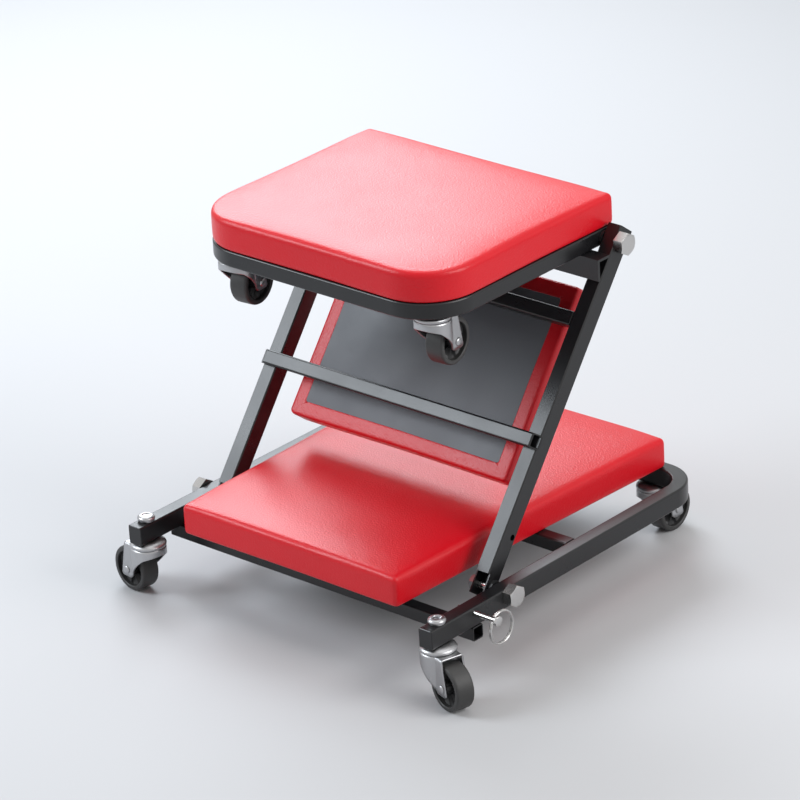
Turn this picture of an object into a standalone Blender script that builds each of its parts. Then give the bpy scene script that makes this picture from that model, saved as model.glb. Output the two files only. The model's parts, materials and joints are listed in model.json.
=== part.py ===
"""Folding mechanic's creeper standing in its seat form.

Three padded sections hinge in a Z: a base on four casters, a middle section that leans
back from the base, and a level seat on two casters of its own.  Metres, +Z up, front
towards -Y, origin on the floor under the centre of the standing object.
"""

import math

import bmesh
import bpy
import numpy as np
from mathutils import Matrix, Vector

# Clearances
FIT = 0.0003
HOLE_PLAY = 0.0003

# Frame tubes
RAIL_W = 0.018
RAIL_H = 0.022
SEAT_RAIL_H = 0.018
WALL = 0.0015
TUBE_EDGE = 0.0012
BAR_SIDE = 0.016

# Base section
BASE_W = 0.430
BASE_L = 0.455
BASE_CORNER = 0.048
FRONT_BAR_SETBACK = 0.0635
REAR_BAR_SETBACK = 0.237

# Middle section
REST_ANGLE = math.radians(52.8)
BASE_HINGE_SETBACK = 0.1229
BASE_HINGE_RISE = 0.004
BASE_SIDE_GAP = 0.0047
MID_LOWER_REACH = 0.012
MID_UPPER_REACH = 0.0165
HINGE_SPAN = 0.3838
MID_CUT_LENGTH = 0.012
LOWER_BAR_AT = 0.149
LOWER_BAR_DEPTH = 0.0087
LOWER_BAR_REACH = 0.1915
UPPER_BAR_AT = 0.284

# Seat section
SEAT_HINGE_DROP = 0.0035
SEAT_SIDE_GAP = 0.0036
SEAT_FRONT_REACH = 0.2697
SEAT_REAR_REACH = 0.0130
SEAT_CORNER = 0.060
SEAT_BAR_AHEAD = 0.075
CORNER_PLATE_H = 0.003
CORNER_PLATE_LAP = 0.005
CORNER_PLATE_LEG = 0.004
STOP_LEG = 0.024
STOP_WALL = 0.003

# Pads; edges are pairs of how far in and how far from the pad's back or its top
PAD_H = 0.0340
CROWN = 0.0030
SIDE_DRAW = 0.0010
PAD_BACK_EDGE = ((0.0030, 0.0), (0.0009, 0.0012), (0.0, 0.0045))
PAD_TOP_EDGE = ((0.0, 0.0115), (0.0011, 0.0050), (0.0034, 0.0016), (0.0085, 0.0))
CROWN_RINGS = (0.80, 0.55, 0.28)
WRAP = 0.0165
BOARD_H = 0.006
PAD_CORNER = 0.006
BOARD_CORNER = 0.003
BASE_PAD_FRONT_W = 0.303
BASE_PAD_REAR_W = 0.336
BASE_PAD_SETBACK = 0.0190
BASE_PAD_REAR_SETBACK = 0.008
MID_PAD_W = 0.307
MID_PAD_FROM = 0.1090
MID_PAD_L = 0.2200
SEAT_PAD_OVERHANG = 0.0060

# Hinge bolts
BOLT_DIA = 0.009
HEX_FLATS = 0.022
HEAD_H = 0.0115
HEX_CHAMFER = 0.0012
HEX_CHAMFER_SHARE = 0.90
NUT_FLATS = 0.015
NUT_H = 0.008
BOLT_STICK_OUT = 0.002
SPACER_DIA = 0.018
EDGE_BREAK = 0.0008

# Lock pin and ring
PIN_DIA = 0.0064
PIN_SETBACK = 0.0667
PIN_DROP = 0.0058
PIN_TIP_CLEAR = 0.0006
PIN_OUT = 0.034
PIN_HEAD_DIA = 0.0115
PIN_HEAD_H = 0.004
RING_MEAN_DIA = 0.0355
RING_WIRE = 0.0030
RING_FROM_HEAD = 0.0042
RING_HOLE_PLAY = 0.0004
RING_HANG = math.radians(-48.0)

# Casters; the fork's edge is pairs of how far past the axle and how far above it
CASTER_H = 0.066
WHEEL_DIA = 0.0515
WHEEL_W = 0.0215
HUB_W = 0.0226
HUB_DIA = 0.014
WEB_W = 0.007
WEB_FILLET = 0.0010
TREAD_WALL = 0.0055
TREAD_CROWN = 0.0020
TREAD_SHOULDER = 0.0045
TRAIL = 0.024
CUP_DIA = 0.040
CUP_H = 0.0065
CUP_LIP = 0.0018
CUP_WAIST = 0.0026
CUP_DOME = 0.0050
STEM_DIA = 0.008
STEM_IN_RAIL = 0.011
STEM_HEAD_DIA = 0.0195
STEM_HEAD_H = 0.0065
STEM_HEAD_STEPS = ((0.86, 0.0), (0.86, 0.30), (1.0, 0.42), (1.0, 0.78), (0.78, 1.0))
FORK_WALL = 0.0020
FORK_W = 0.0275
FORK_TOP_TAIL = 0.0015
FORK_NOSE_H = 0.0075
FORK_EDGE = (
    (0.0085, -0.0050), (0.0055, -0.0078), (-0.0065, -0.0078), (-0.0100, -0.0045),
    (-0.0152, 0.0030), (-0.0240, 0.0125), (-0.0340, 0.0215),
)
RIVET_FLANGE_DIA = 0.014
RIVET_FLANGE_H = 0.0025
AXLE_DIA = 0.006
AXLE_HEAD_DIA = 0.0092
AXLE_HEAD_H = 0.0018
AXLE_HEAD_STEPS = ((0.6, 1.0), (1.0, 0.4), (1.0, 0.0))
FRONT_STEM_SETBACK = 0.019
REAR_STEM_INSET = 0.065
SEAT_STEM_FROM_BEND = 0.0365
SEAT_STEM_TURN = math.radians(45.0)
FRONT_LEFT_TURN = math.radians(172.0)
FRONT_RIGHT_TURN = math.radians(-16.0)
REAR_TURN = math.radians(90.0)
SEAT_TURN = math.radians(96.0)

# Facets
ROUND = 24
SMALL_ROUND = 12
RING_ROUND = 32
WIRE_ROUND = 8
CORNER_STEPS = 8
EDGE_STEPS = 1
PAD_ARC_STEPS = 5
PAD_SIDE_STEPS = 7
SMOOTH_ANGLE = math.radians(35.0)

# Worked-out levels and widths
RAIL_BOTTOM = CASTER_H
RAIL_TOP = RAIL_BOTTOM + RAIL_H
BASE_HALF = BASE_W / 2
BASE_INNER = BASE_HALF - RAIL_W
MID_HALF = BASE_INNER - BASE_SIDE_GAP
MID_INNER = MID_HALF - RAIL_W
SEAT_HALF = MID_INNER - SEAT_SIDE_GAP
SEAT_INNER = SEAT_HALF - RAIL_W
RAIL_X = BASE_HALF - RAIL_W / 2
REAR_STEM_X = BASE_HALF - REAR_STEM_INSET
BASE_PAD_L = BASE_L - BASE_PAD_SETBACK - BASE_PAD_REAR_SETBACK
WHEEL_REACH = TRAIL + WHEEL_DIA / 2
SIDE_STEP = WHEEL_W / 2 * math.cos(FRONT_RIGHT_TURN)
REACH_FRONT = FRONT_STEM_SETBACK + WHEEL_REACH * math.sin(FRONT_RIGHT_TURN) - SIDE_STEP
REACH_REAR = BASE_L - RAIL_W / 2 + WHEEL_REACH
FRONT_Y = -(REACH_FRONT + REACH_REAR) / 2
BASE_AXIS = Vector((0, FRONT_Y + BASE_HINGE_SETBACK, RAIL_BOTTOM + RAIL_H / 2 + BASE_HINGE_RISE))
TUBE_MID = BASE_HINGE_RISE
TUBE_FRONT = TUBE_MID + RAIL_H / 2
TUBE_BACK = TUBE_MID - RAIL_H / 2
SEAT_AXIS_MID = Vector((0, HINGE_SPAN, TUBE_MID + SEAT_HINGE_DROP))
SEAT_BOTTOM = SEAT_AXIS_MID.z - TUBE_FRONT
SEAT_TOP = SEAT_BOTTOM + SEAT_RAIL_H
PIN_AT = Vector((BASE_HALF, FRONT_Y + PIN_SETBACK, RAIL_TOP - PIN_DROP))
SEAT_BEND = Vector((SEAT_HALF - SEAT_CORNER, SEAT_CORNER - SEAT_FRONT_REACH))
AXLE_Z = WHEEL_DIA / 2 - CASTER_H


def clear_scene():
    """Empties the scene."""
    for item in list(bpy.data.objects):
        bpy.data.objects.remove(item, do_unlink=True)


def paint(name, colour, roughness, metallic):
    """Makes one plain material."""
    material = bpy.data.materials.new(name)
    material.use_nodes = True
    shader = material.node_tree.nodes["Principled BSDF"]
    shader.inputs["Base Color"].default_value = (*colour, 1.0)
    shader.inputs["Roughness"].default_value = roughness
    shader.inputs["Metallic"].default_value = metallic
    return material


def axis_empty(name, location, parent=None, rotation=(0, 0, 0)):
    """Places an empty on a joint's axis."""
    empty = bpy.data.objects.new(name, None)
    bpy.context.collection.objects.link(empty)
    empty.location = location
    empty.rotation_euler = rotation
    empty.parent = parent
    return empty


def mesh_from(name, shape):
    """Turns a bmesh into a mesh with its faces pointing out."""
    bmesh.ops.recalc_face_normals(shape, faces=shape.faces)
    if shape.calc_volume(signed=True) < 0:
        bmesh.ops.reverse_faces(shape, faces=shape.faces)
    mesh = bpy.data.meshes.new(name)
    shape.to_mesh(mesh)
    shape.free()
    return mesh


def place(name, mesh, material, parent=None, location=(0, 0, 0), rotation=(0, 0, 0), smooth=False):
    """Adds one named sub-part."""
    if not mesh.materials:
        mesh.materials.append(material)
    if smooth:
        mesh.shade_smooth()
        mesh.set_sharp_from_angle(angle=SMOOTH_ANGLE)
    item = bpy.data.objects.new(name, mesh)
    bpy.context.collection.objects.link(item)
    item.location = location
    item.rotation_euler = rotation
    item.parent = parent
    return item


def cutter(name, mesh, parent=None):
    """Adds a hidden shape that only cuts its neighbour."""
    item = bpy.data.objects.new(name, mesh)
    bpy.context.collection.objects.link(item)
    item.parent = parent
    item.hide_render = True
    item.display_type = "WIRE"
    return item


def boolean(item, tool, operation="DIFFERENCE"):
    """Cuts or trims an object with another."""
    modifier = item.modifiers.new(operation.title(), "BOOLEAN")
    modifier.operation = operation
    modifier.solver = "EXACT"
    modifier.object = tool


def settled(item):
    """Returns an object's mesh with its modifiers applied, and removes the object."""
    bpy.context.view_layer.update()
    view = bpy.context.evaluated_depsgraph_get()
    mesh = bpy.data.meshes.new_from_object(item.evaluated_get(view))
    bpy.data.objects.remove(item, do_unlink=True)
    return mesh


def loft(shape, rings, closed=False):
    """Joins rings of points, end to end when closed, or with a flat cap at each end."""
    loops = [[shape.verts.new(point) for point in ring] for ring in rings]
    count = len(loops[0])
    pairs = list(zip(loops, loops[1:]))
    if closed:
        pairs.append((loops[-1], loops[0]))
    else:
        for ring, loop in ((rings[0], loops[0]), (rings[-1], loops[-1])):
            middle = shape.verts.new(sum(ring, Vector()) / count)
            for i in range(count):
                shape.faces.new((loop[i], loop[(i + 1) % count], middle))
    for low, high in pairs:
        for i in range(count):
            j = (i + 1) % count
            shape.faces.new((low[i], low[j], high[j], high[i]))


def circle(radius, count):
    """Points of a circle, the first of them straight down."""
    turn = [math.tau * i / count - math.pi / 2 for i in range(count)]
    return [(radius * math.cos(a), radius * math.sin(a)) for a in turn]


def hexagon(flats, count):
    """Points spread evenly along a hexagon with a corner straight down."""
    corners = circle(flats / math.sqrt(3), 6)
    share = count // 6
    points = []
    for i in range(6):
        start, end = Vector(corners[i]), Vector(corners[(i + 1) % 6])
        points += [tuple(start.lerp(end, k / share)) for k in range(share)]
    return points


def along_x(outline, x):
    """Stands a flat ring across the X axis."""
    return [Vector((x, a, b)) for a, b in outline]


def along_z(outline, z):
    """Lays a flat ring level."""
    return [Vector((a, b, z)) for a, b in outline]


def turned(profile, count, stand, closed=False):
    """Shape turned from (radius, place) pairs, with the rings stood by the given function."""
    shape = bmesh.new()
    loft(shape, [stand(circle(radius, count), at) for radius, at in profile], closed)
    return shape


def prism(outline, lift):
    """Extrudes a flat outline of points by a vector."""
    shape = bmesh.new()
    face = shape.faces.new([shape.verts.new(point) for point in outline])
    grown = bmesh.ops.extrude_face_region(shape, geom=[face])
    moved = [v for v in grown["geom"] if isinstance(v, bmesh.types.BMVert)]
    bmesh.ops.translate(shape, verts=moved, vec=lift)
    return shape


def block(shape, low, high):
    """Adds a box between two corners."""
    size = Vector(high) - Vector(low)
    middle = (Vector(high) + Vector(low)) / 2
    matrix = Matrix.Translation(middle) @ Matrix.Diagonal((*size, 1.0))
    bmesh.ops.create_cube(shape, size=1.0, matrix=matrix)


def drill(shape, radius, low, high, count=SMALL_ROUND):
    """Adds a round cutter from one point to another."""
    start, end = Vector(low), Vector(high)
    turn = (end - start).to_track_quat("Z", "Y").to_matrix().to_4x4()
    matrix = Matrix.Translation((start + end) / 2) @ turn
    bmesh.ops.create_cone(
        shape, cap_ends=True, segments=count, radius1=radius, radius2=radius,
        depth=(end - start).length, matrix=matrix,
    )


def section(width, height, radius):
    """Points of a rectangle with round corners."""
    points = []
    for i, (a, b) in enumerate(((1, 1), (-1, 1), (-1, -1), (1, -1))):
        for k in range(EDGE_STEPS + 1):
            turn = math.pi / 2 * (i + k / EDGE_STEPS)
            x = a * (width / 2 - radius) + radius * math.cos(turn)
            points.append((x, b * (height / 2 - radius) + radius * math.sin(turn)))
    return points


def tube(stations, width, height, capped):
    """Hollow rectangular tube along (centre, sideways) stations, its height along Z."""
    shape = bmesh.new()
    up = Vector((0, 0, 1))
    skin_outline = section(width, height, TUBE_EDGE)
    core_outline = section(width - 2 * WALL, height - 2 * WALL, TUBE_EDGE / 2)
    count = len(skin_outline)

    def ring(centre, side, outline):
        return [shape.verts.new(centre + side * a + up * b) for a, b in outline]

    def pull(index, inner):
        if not capped:
            return stations[index][0]
        toward = (stations[inner][0] - stations[index][0]).normalized()
        return stations[index][0] + toward * WALL

    def bridge(first, second):
        for i in range(count):
            j = (i + 1) % count
            shape.faces.new((first[i], first[j], second[j], second[i]))

    outer = [ring(centre, side, skin_outline) for centre, side in stations]
    places = [(pull(0, 1), stations[0][1]), *stations[1:-1], (pull(-1, -2), stations[-1][1])]
    hollow = [ring(centre, side, core_outline) for centre, side in places]
    for skin in (outer, hollow):
        for first, second in zip(skin, skin[1:]):
            bridge(first, second)
    if capped:
        for end in (outer[0], outer[-1], hollow[0], hollow[-1]):
            shape.faces.new(end)
    else:
        bridge(outer[0], hollow[0])
        bridge(outer[-1], hollow[-1])
    return shape


def point_out(shape):
    """Turns the outer skin outwards and the hollow's skin inwards."""
    bmesh.ops.recalc_face_normals(shape, faces=shape.faces)
    islands = []
    left = set(shape.faces)
    while left:
        front = [left.pop()]
        island = list(front)
        while front:
            for edge in front.pop().edges:
                for other in edge.link_faces:
                    if other in left:
                        left.remove(other)
                        front.append(other)
                        island.append(other)
        islands.append(island)
    islands.sort(key=lambda faces: sum(face.calc_area() for face in faces))
    if len(islands) == 2:
        bmesh.ops.reverse_faces(shape, faces=islands[0])
    if shape.calc_volume(signed=True) < 0:
        bmesh.ops.reverse_faces(shape, faces=shape.faces)


def tube_mesh(name, stations, width, height, capped=False):
    """Mesh of a hollow tube, its skins facing the right way."""
    shape = tube(stations, width, height, capped)
    point_out(shape)
    mesh = bpy.data.meshes.new(name)
    shape.to_mesh(mesh)
    shape.free()
    return mesh


def straight(start, end):
    """Two stations of a straight tube."""
    start, end = Vector(start), Vector(end)
    side = (end - start).cross(Vector((0, 0, 1))).normalized()
    return [(start, side), (end, side)]


def u_stations(half, end_y, bend_y, corner, z):
    """Stations of a U in plan, its open ends at end_y and its far bar at bend_y, on tube centres."""
    sign = 1 if bend_y > end_y else -1
    stations = [(Vector((half, end_y, z)), Vector((1, 0, 0)))]
    for centre_x, first in ((half - corner, 0.0), (corner - half, math.pi / 2)):
        for i in range(CORNER_STEPS + 1):
            turn = first + math.pi / 2 * i / CORNER_STEPS
            out = Vector((math.cos(turn), sign * math.sin(turn), 0))
            centre = Vector((centre_x, bend_y - sign * corner, z))
            stations.append((centre + out * corner, out))
    stations.append((Vector((-half, end_y, z)), Vector((-1, 0, 0))))
    return stations


def rounded(corners, radii, arc_steps, side_steps):
    """Points of an outline with round corners, and how far along its side each point lies."""
    count = len(corners)
    points, along = [], []
    for i in range(count):
        before, here, after = (Vector(corners[(i + k) % count]) for k in (-1, 0, 1))
        radius = radii[i]
        to_before, to_after = (before - here).normalized(), (after - here).normalized()
        half = to_before.angle(to_after) / 2
        centre = here + (to_before + to_after).normalized() * (radius / math.sin(half))
        first = here + to_before * (radius / math.tan(half)) - centre
        last = here + to_after * (radius / math.tan(half)) - centre
        sweep = first.angle_signed(last)
        for k in range(arc_steps + 1):
            turn = -sweep * k / arc_steps
            points.append(centre + Matrix.Rotation(turn, 2) @ first)
            along.append(0.0)
        nearer = here + to_after * (radius / math.tan(half))
        following = Vector(corners[(i + 2) % count])
        next_half = (here - after).angle(following - after) / 2
        end = after + (here - after).normalized() * (radii[(i + 1) % count] / math.tan(next_half))
        for k in range(1, side_steps):
            points.append(nearer.lerp(end, k / side_steps))
            along.append(k / side_steps)
    return np.array([tuple(p) for p in points]), np.array(along)


def inset(points, distance):
    """Moves an outline inwards along the bisector at each point."""
    before, after = np.roll(points, 1, axis=0), np.roll(points, -1, axis=0)
    tangent = after - before
    normal = np.stack([-tangent[:, 1], tangent[:, 0]], axis=1)
    normal /= np.linalg.norm(normal, axis=1)[:, None]
    return points + normal * np.asarray(distance).reshape(-1, 1)


def shrink(corners, radii, distance):
    """Corners and radii of an outline moved inwards by a distance."""
    count = len(corners)
    smaller = []
    for i in range(count):
        before, here, after = (Vector(corners[(i + k) % count]) for k in (-1, 0, 1))
        to_before, to_after = (before - here).normalized(), (after - here).normalized()
        half = to_before.angle(to_after) / 2
        smaller.append(here + (to_before + to_after).normalized() * (distance / math.sin(half)))
    return smaller, [max(radius - distance, BOARD_CORNER) for radius in radii]


def pad_ring(corners, radii, distance):
    """Outline of a pad moved in by a distance, with its sides drawn in a little more."""
    outline, along = rounded(*shrink(corners, radii, distance), PAD_ARC_STEPS, PAD_SIDE_STEPS)
    return inset(outline, SIDE_DRAW * np.sin(math.pi * along) ** 2)


def pad_meshes(name, corners, radii, face):
    """Cushion and board of one pad; face is +1 for a crown towards +Z and -1 towards -Z."""
    recess, _ = rounded(*shrink(corners, radii, WRAP), PAD_ARC_STEPS, PAD_SIDE_STEPS)
    levels = [(recess, BOARD_H + FIT), (recess, 0.0)]
    levels += [(pad_ring(corners, radii, distance), rise) for distance, rise in PAD_BACK_EDGE]
    levels += [(pad_ring(corners, radii, distance), PAD_H - depth) for distance, depth in PAD_TOP_EDGE]
    edge = levels[-1][0]
    centre = edge.mean(axis=0)
    for share in CROWN_RINGS:
        levels.append((centre + (edge - centre) * share, PAD_H + CROWN * (1 - share ** 2)))
    shape = bmesh.new()
    loft(shape, [[Vector((x, y, face * z)) for x, y in ring] for ring, z in levels])
    cushion = mesh_from(f"{name}_cushion", shape)
    sheet, _ = rounded(*shrink(corners, radii, WRAP + FIT), PAD_ARC_STEPS, 1)
    sides = [Vector((x, y, 0.0)) for x, y in sheet]
    board = mesh_from(f"{name}_board", prism(sides, Vector((0, 0, face * BOARD_H))))
    return cushion, board


def hex_bolt(name, reach):
    """Hex bolt along X: head outside at x above zero, shank to minus reach."""
    outer = hexagon(HEX_FLATS, SMALL_ROUND)
    smaller = hexagon(HEX_FLATS * HEX_CHAMFER_SHARE, SMALL_ROUND)
    shank = circle(BOLT_DIA / 2, SMALL_ROUND)
    tip = circle(BOLT_DIA / 2 - EDGE_BREAK, SMALL_ROUND)
    rings = [
        along_x(smaller, FIT + HEAD_H), along_x(outer, FIT + HEAD_H - HEX_CHAMFER), along_x(outer, FIT),
        along_x(shank, FIT), along_x(shank, EDGE_BREAK - reach), along_x(tip, -reach),
    ]
    shape = bmesh.new()
    loft(shape, rings)
    return mesh_from(name, shape)


def hex_nut(name):
    """Hex nut on X from zero to its height, with its bore."""
    outer = hexagon(NUT_FLATS, SMALL_ROUND)
    smaller = hexagon(NUT_FLATS * HEX_CHAMFER_SHARE, SMALL_ROUND)
    bore = circle(BOLT_DIA / 2 + HOLE_PLAY, SMALL_ROUND)
    rings = [
        along_x(bore, 0.0), along_x(outer, 0.0), along_x(outer, NUT_H - HEX_CHAMFER),
        along_x(smaller, NUT_H), along_x(bore, NUT_H),
    ]
    shape = bmesh.new()
    loft(shape, rings, closed=True)
    return mesh_from(name, shape)


def spacer(name, thickness):
    """Plain ring on X from zero to its thickness."""
    bore, rim = BOLT_DIA / 2 + HOLE_PLAY, SPACER_DIA / 2
    profile = [(bore, 0.0), (rim, 0.0), (rim, thickness), (bore, thickness)]
    return mesh_from(name, turned(profile, SMALL_ROUND, along_x, closed=True))


def hinge_hardware(prefix, outer, inner, gap_at, gap, axis, looks):
    """Bolt, nut and spacer on both sides of one hinge, all on its axis."""
    for side, sign in (("left", -1), ("right", 1)):
        turn = (0, 0, 0) if sign > 0 else (0, 0, math.pi)
        back_turn = (0, 0, 0) if sign < 0 else (0, 0, math.pi)
        bolt = hex_bolt(f"{prefix}_bolt", outer - inner + NUT_H + FIT + BOLT_STICK_OUT)
        place(f"{prefix}_bolt_{side}", bolt, looks["zinc"], axis, (sign * outer, 0, 0), turn)
        nut = hex_nut(f"{prefix}_nut")
        place(f"{prefix}_nut_{side}", nut, looks["zinc"], axis, (sign * (inner - FIT), 0, 0), back_turn)
        ring = spacer(f"{prefix}_spacer", gap - 2 * FIT)
        place(f"{prefix}_spacer_{side}", ring, looks["black"], axis, (sign * (gap_at + FIT), 0, 0), turn)


def build_base(looks):
    """Base frame, its crossbars and its pad."""
    centre_half = BASE_HALF - RAIL_W / 2
    level = RAIL_BOTTOM + RAIL_H / 2
    end = FRONT_Y + BASE_L - RAIL_W / 2
    stations = u_stations(centre_half, FRONT_Y, end, BASE_CORNER - RAIL_W / 2, level)
    mesh = tube_mesh("base_frame", stations, RAIL_W, RAIL_H, capped=True)
    frame = place("base_frame", mesh, looks["black"])
    holes = bmesh.new()
    stem_hole = STEM_DIA / 2 + HOLE_PLAY
    for sign in (-1, 1):
        x = sign * RAIL_X
        y = FRONT_Y + FRONT_STEM_SETBACK
        drill(holes, stem_hole, (x, y, RAIL_BOTTOM - WALL), (x, y, RAIL_TOP + WALL))
        x = sign * REAR_STEM_X
        drill(holes, stem_hole, (x, end, RAIL_BOTTOM - WALL), (x, end, level))
        low, high = sign * (BASE_INNER - WALL), sign * (BASE_HALF + WALL)
        y, z = BASE_AXIS.y, BASE_AXIS.z
        drill(holes, BOLT_DIA / 2 + HOLE_PLAY, (low, y, z), (high, y, z))
    y, z = PIN_AT.y, PIN_AT.z
    drill(holes, PIN_DIA / 2 + HOLE_PLAY, (BASE_INNER - WALL, y, z), (BASE_HALF + WALL, y, z))
    boolean(frame, cutter("base_frame_holes", mesh_from("base_frame_holes", holes)))

    y = FRONT_Y + FRONT_BAR_SETBACK + BAR_SIDE / 2
    z = RAIL_BOTTOM - FIT - BAR_SIDE / 2
    run = straight((-BASE_HALF, y, z), (BASE_HALF, y, z))
    bar = tube_mesh("base_crossbar_front", run, BAR_SIDE, BAR_SIDE)
    place("base_crossbar_front", bar, looks["black"])
    y = FRONT_Y + REAR_BAR_SETBACK + BAR_SIDE / 2
    z = RAIL_TOP - BAR_SIDE / 2
    reach = BASE_INNER - FIT
    bar = tube_mesh("base_crossbar_rear", straight((-reach, y, z), (reach, y, z)), BAR_SIDE, BAR_SIDE)
    place("base_crossbar_rear", bar, looks["black"])

    front, back = BASE_PAD_FRONT_W / 2, BASE_PAD_REAR_W / 2
    corners = [(-front, 0), (front, 0), (back, BASE_PAD_L), (-back, BASE_PAD_L)]
    cushion, board = pad_meshes("base", corners, [PAD_CORNER] * 4, 1)
    spot = (0, FRONT_Y + BASE_PAD_SETBACK, RAIL_TOP + FIT)
    place("base_cushion", cushion, looks["vinyl"], None, spot, smooth=True)
    place("base_board", board, looks["board"], None, spot)


def build_lock(looks):
    """Pull pin through the right rail, and the ring through the pin's cross hole."""
    axis = axis_empty("lock_pin_axis", PIN_AT)
    radius, head = PIN_DIA / 2, PIN_HEAD_DIA / 2
    tip = MID_HALF - BASE_HALF + PIN_TIP_CLEAR
    profile = [
        (head - EDGE_BREAK, PIN_OUT), (head, PIN_OUT - EDGE_BREAK), (head, PIN_OUT - PIN_HEAD_H),
        (radius, PIN_OUT - PIN_HEAD_H), (radius, tip + EDGE_BREAK), (radius - EDGE_BREAK, tip),
    ]
    mesh = mesh_from("lock_pin", turned(profile, SMALL_ROUND, along_x))
    pin = place("lock_pin", mesh, looks["zinc"], axis)
    at = PIN_OUT - PIN_HEAD_H - RING_FROM_HEAD
    hang = Vector((0, math.cos(RING_HANG), math.sin(RING_HANG)))
    run = Vector((0, -hang.z, hang.y))
    hole = bmesh.new()
    middle = Vector((at, 0, 0))
    drill(hole, RING_WIRE / 2 + RING_HOLE_PLAY, middle - run * PIN_DIA, middle + run * PIN_DIA)
    boolean(pin, cutter("lock_pin_hole", mesh_from("lock_pin_hole", hole), axis))

    pivot = axis_empty("pull_ring_axis", (at, 0, 0), axis)
    mean, wire = RING_MEAN_DIA / 2, RING_WIRE / 2
    rings = []
    for i in range(RING_ROUND):
        turn = math.tau * i / RING_ROUND
        out = -math.cos(turn) * hang + math.sin(turn) * run
        centre = hang * mean + out * mean
        rings.append([centre + out * a + Vector((b, 0, 0)) for a, b in circle(wire, WIRE_ROUND)])
    shape = bmesh.new()
    loft(shape, rings, closed=True)
    place("pull_ring", mesh_from("pull_ring", shape), looks["zinc"], pivot, smooth=True)


def stop_line(z):
    """How far behind the seat hinge the middle tubes' front faces lie at a height above it."""
    ahead = TUBE_FRONT - SEAT_AXIS_MID.z + FIT
    return (z * math.cos(REST_ANGLE) - ahead) / math.sin(REST_ANGLE)


def mitre(mesh, level):
    """Slants both ends of a bar along X by 45 degrees, shorter above the level and longer below it."""
    for vertex in mesh.vertices:
        vertex.co.x -= math.copysign(vertex.co.z - level, vertex.co.x)


def build_middle(axis, looks):
    """Leaning tubes, crossbars, the seat's stop and a pad, in a frame that runs up along the tubes."""
    top = HINGE_SPAN + MID_UPPER_REACH
    for side, sign in (("left", -1), ("right", 1)):
        x = sign * (MID_HALF - RAIL_W / 2)
        name = f"mid_tube_{side}"
        run = straight((x, -MID_LOWER_REACH, TUBE_MID), (x, top, TUBE_MID))
        item = place(name, tube_mesh(name, run, RAIL_W, RAIL_H), looks["black"], axis)
        tool = bmesh.new()
        low, high = sign * (MID_INNER - WALL), sign * (MID_HALF + WALL)
        for spot in (Vector((0, 0, 0)), SEAT_AXIS_MID):
            drill(tool, BOLT_DIA / 2 + HOLE_PLAY, (low, spot.y, spot.z), (high, spot.y, spot.z))
        if sign > 0:
            s, n = BASE_AXIS.y - PIN_AT.y, BASE_AXIS.z - PIN_AT.z
            drill(tool, PIN_DIA / 2 + FIT, (MID_HALF - 3 * WALL, s, n), (high, s, n))
        cut_low = TUBE_FRONT - 2 * WALL
        block(
            tool, (min(low, high), -MID_LOWER_REACH - WALL, cut_low),
            (max(low, high), MID_CUT_LENGTH, TUBE_FRONT + WALL),
        )
        boolean(item, cutter(f"{name}_holes", mesh_from(f"{name}_holes", tool), axis))

    s, n = LOWER_BAR_AT + BAR_SIDE / 2, TUBE_FRONT + FIT + LOWER_BAR_DEPTH / 2
    run = straight((-LOWER_BAR_REACH, s, n), (LOWER_BAR_REACH, s, n))
    bar = tube_mesh("mid_crossbar_lower", run, BAR_SIDE, LOWER_BAR_DEPTH)
    mitre(bar, n)
    place("mid_crossbar_lower", bar, looks["black"], axis)
    s, reach = UPPER_BAR_AT + BAR_SIDE / 2, MID_INNER - FIT
    run = straight((-reach, s, TUBE_MID), (reach, s, TUBE_MID))
    bar = tube_mesh("mid_crossbar_upper", run, BAR_SIDE, RAIL_H)
    place("mid_crossbar_upper", bar, looks["black"], axis)

    top = SEAT_BOTTOM - FIT
    bottom = top - STOP_LEG
    face = stop_line(bottom) - STOP_WALL
    rear = stop_line(top - STOP_WALL)
    outline = [
        (face, top), (rear, top), (rear, top - STOP_WALL), (face + STOP_WALL, top - STOP_WALL),
        (face + STOP_WALL, bottom), (face, bottom),
    ]
    profile = [Vector((-MID_HALF, y, z)) for y, z in outline]
    angle = mesh_from("mid_stop_angle", prism(profile, Vector((2 * MID_HALF, 0, 0))))
    place("mid_stop_angle", angle, looks["black"], axis, SEAT_AXIS_MID, (-REST_ANGLE, 0, 0))

    half = MID_PAD_W / 2
    corners = [(-half, 0), (half, 0), (half, MID_PAD_L), (-half, MID_PAD_L)]
    cushion, board = pad_meshes("mid", corners, [PAD_CORNER] * 4, -1)
    spot = (0, MID_PAD_FROM, TUBE_BACK - FIT)
    place("mid_cushion", cushion, looks["vinyl"], axis, spot, smooth=True)
    place("mid_board", board, looks["board"], axis, spot)


def seat_stem(sign):
    """Where a seat caster's stem stands in the corner of the seat frame."""
    x = SEAT_BEND.x + SEAT_STEM_FROM_BEND * math.cos(SEAT_STEM_TURN)
    y = SEAT_BEND.y - SEAT_STEM_FROM_BEND * math.sin(SEAT_STEM_TURN)
    return sign * x, y


def corner_plate(sign):
    """Flat plate in a bent corner of the seat frame, which carries a caster's stem."""
    edge = SEAT_CORNER - RAIL_W + CORNER_PLATE_LAP
    plan = [(edge, CORNER_PLATE_LEG)]
    for i in range(CORNER_STEPS + 1):
        turn = math.pi / 2 * i / CORNER_STEPS
        plan.append((edge * math.cos(turn), -edge * math.sin(turn)))
    plan.append((-CORNER_PLATE_LEG, -edge))
    points = [Vector((sign * (SEAT_BEND.x + x), SEAT_BEND.y + y, SEAT_BOTTOM)) for x, y in plan]
    return mesh_from("corner_plate", prism(points, Vector((0, 0, CORNER_PLATE_H))))


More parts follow.
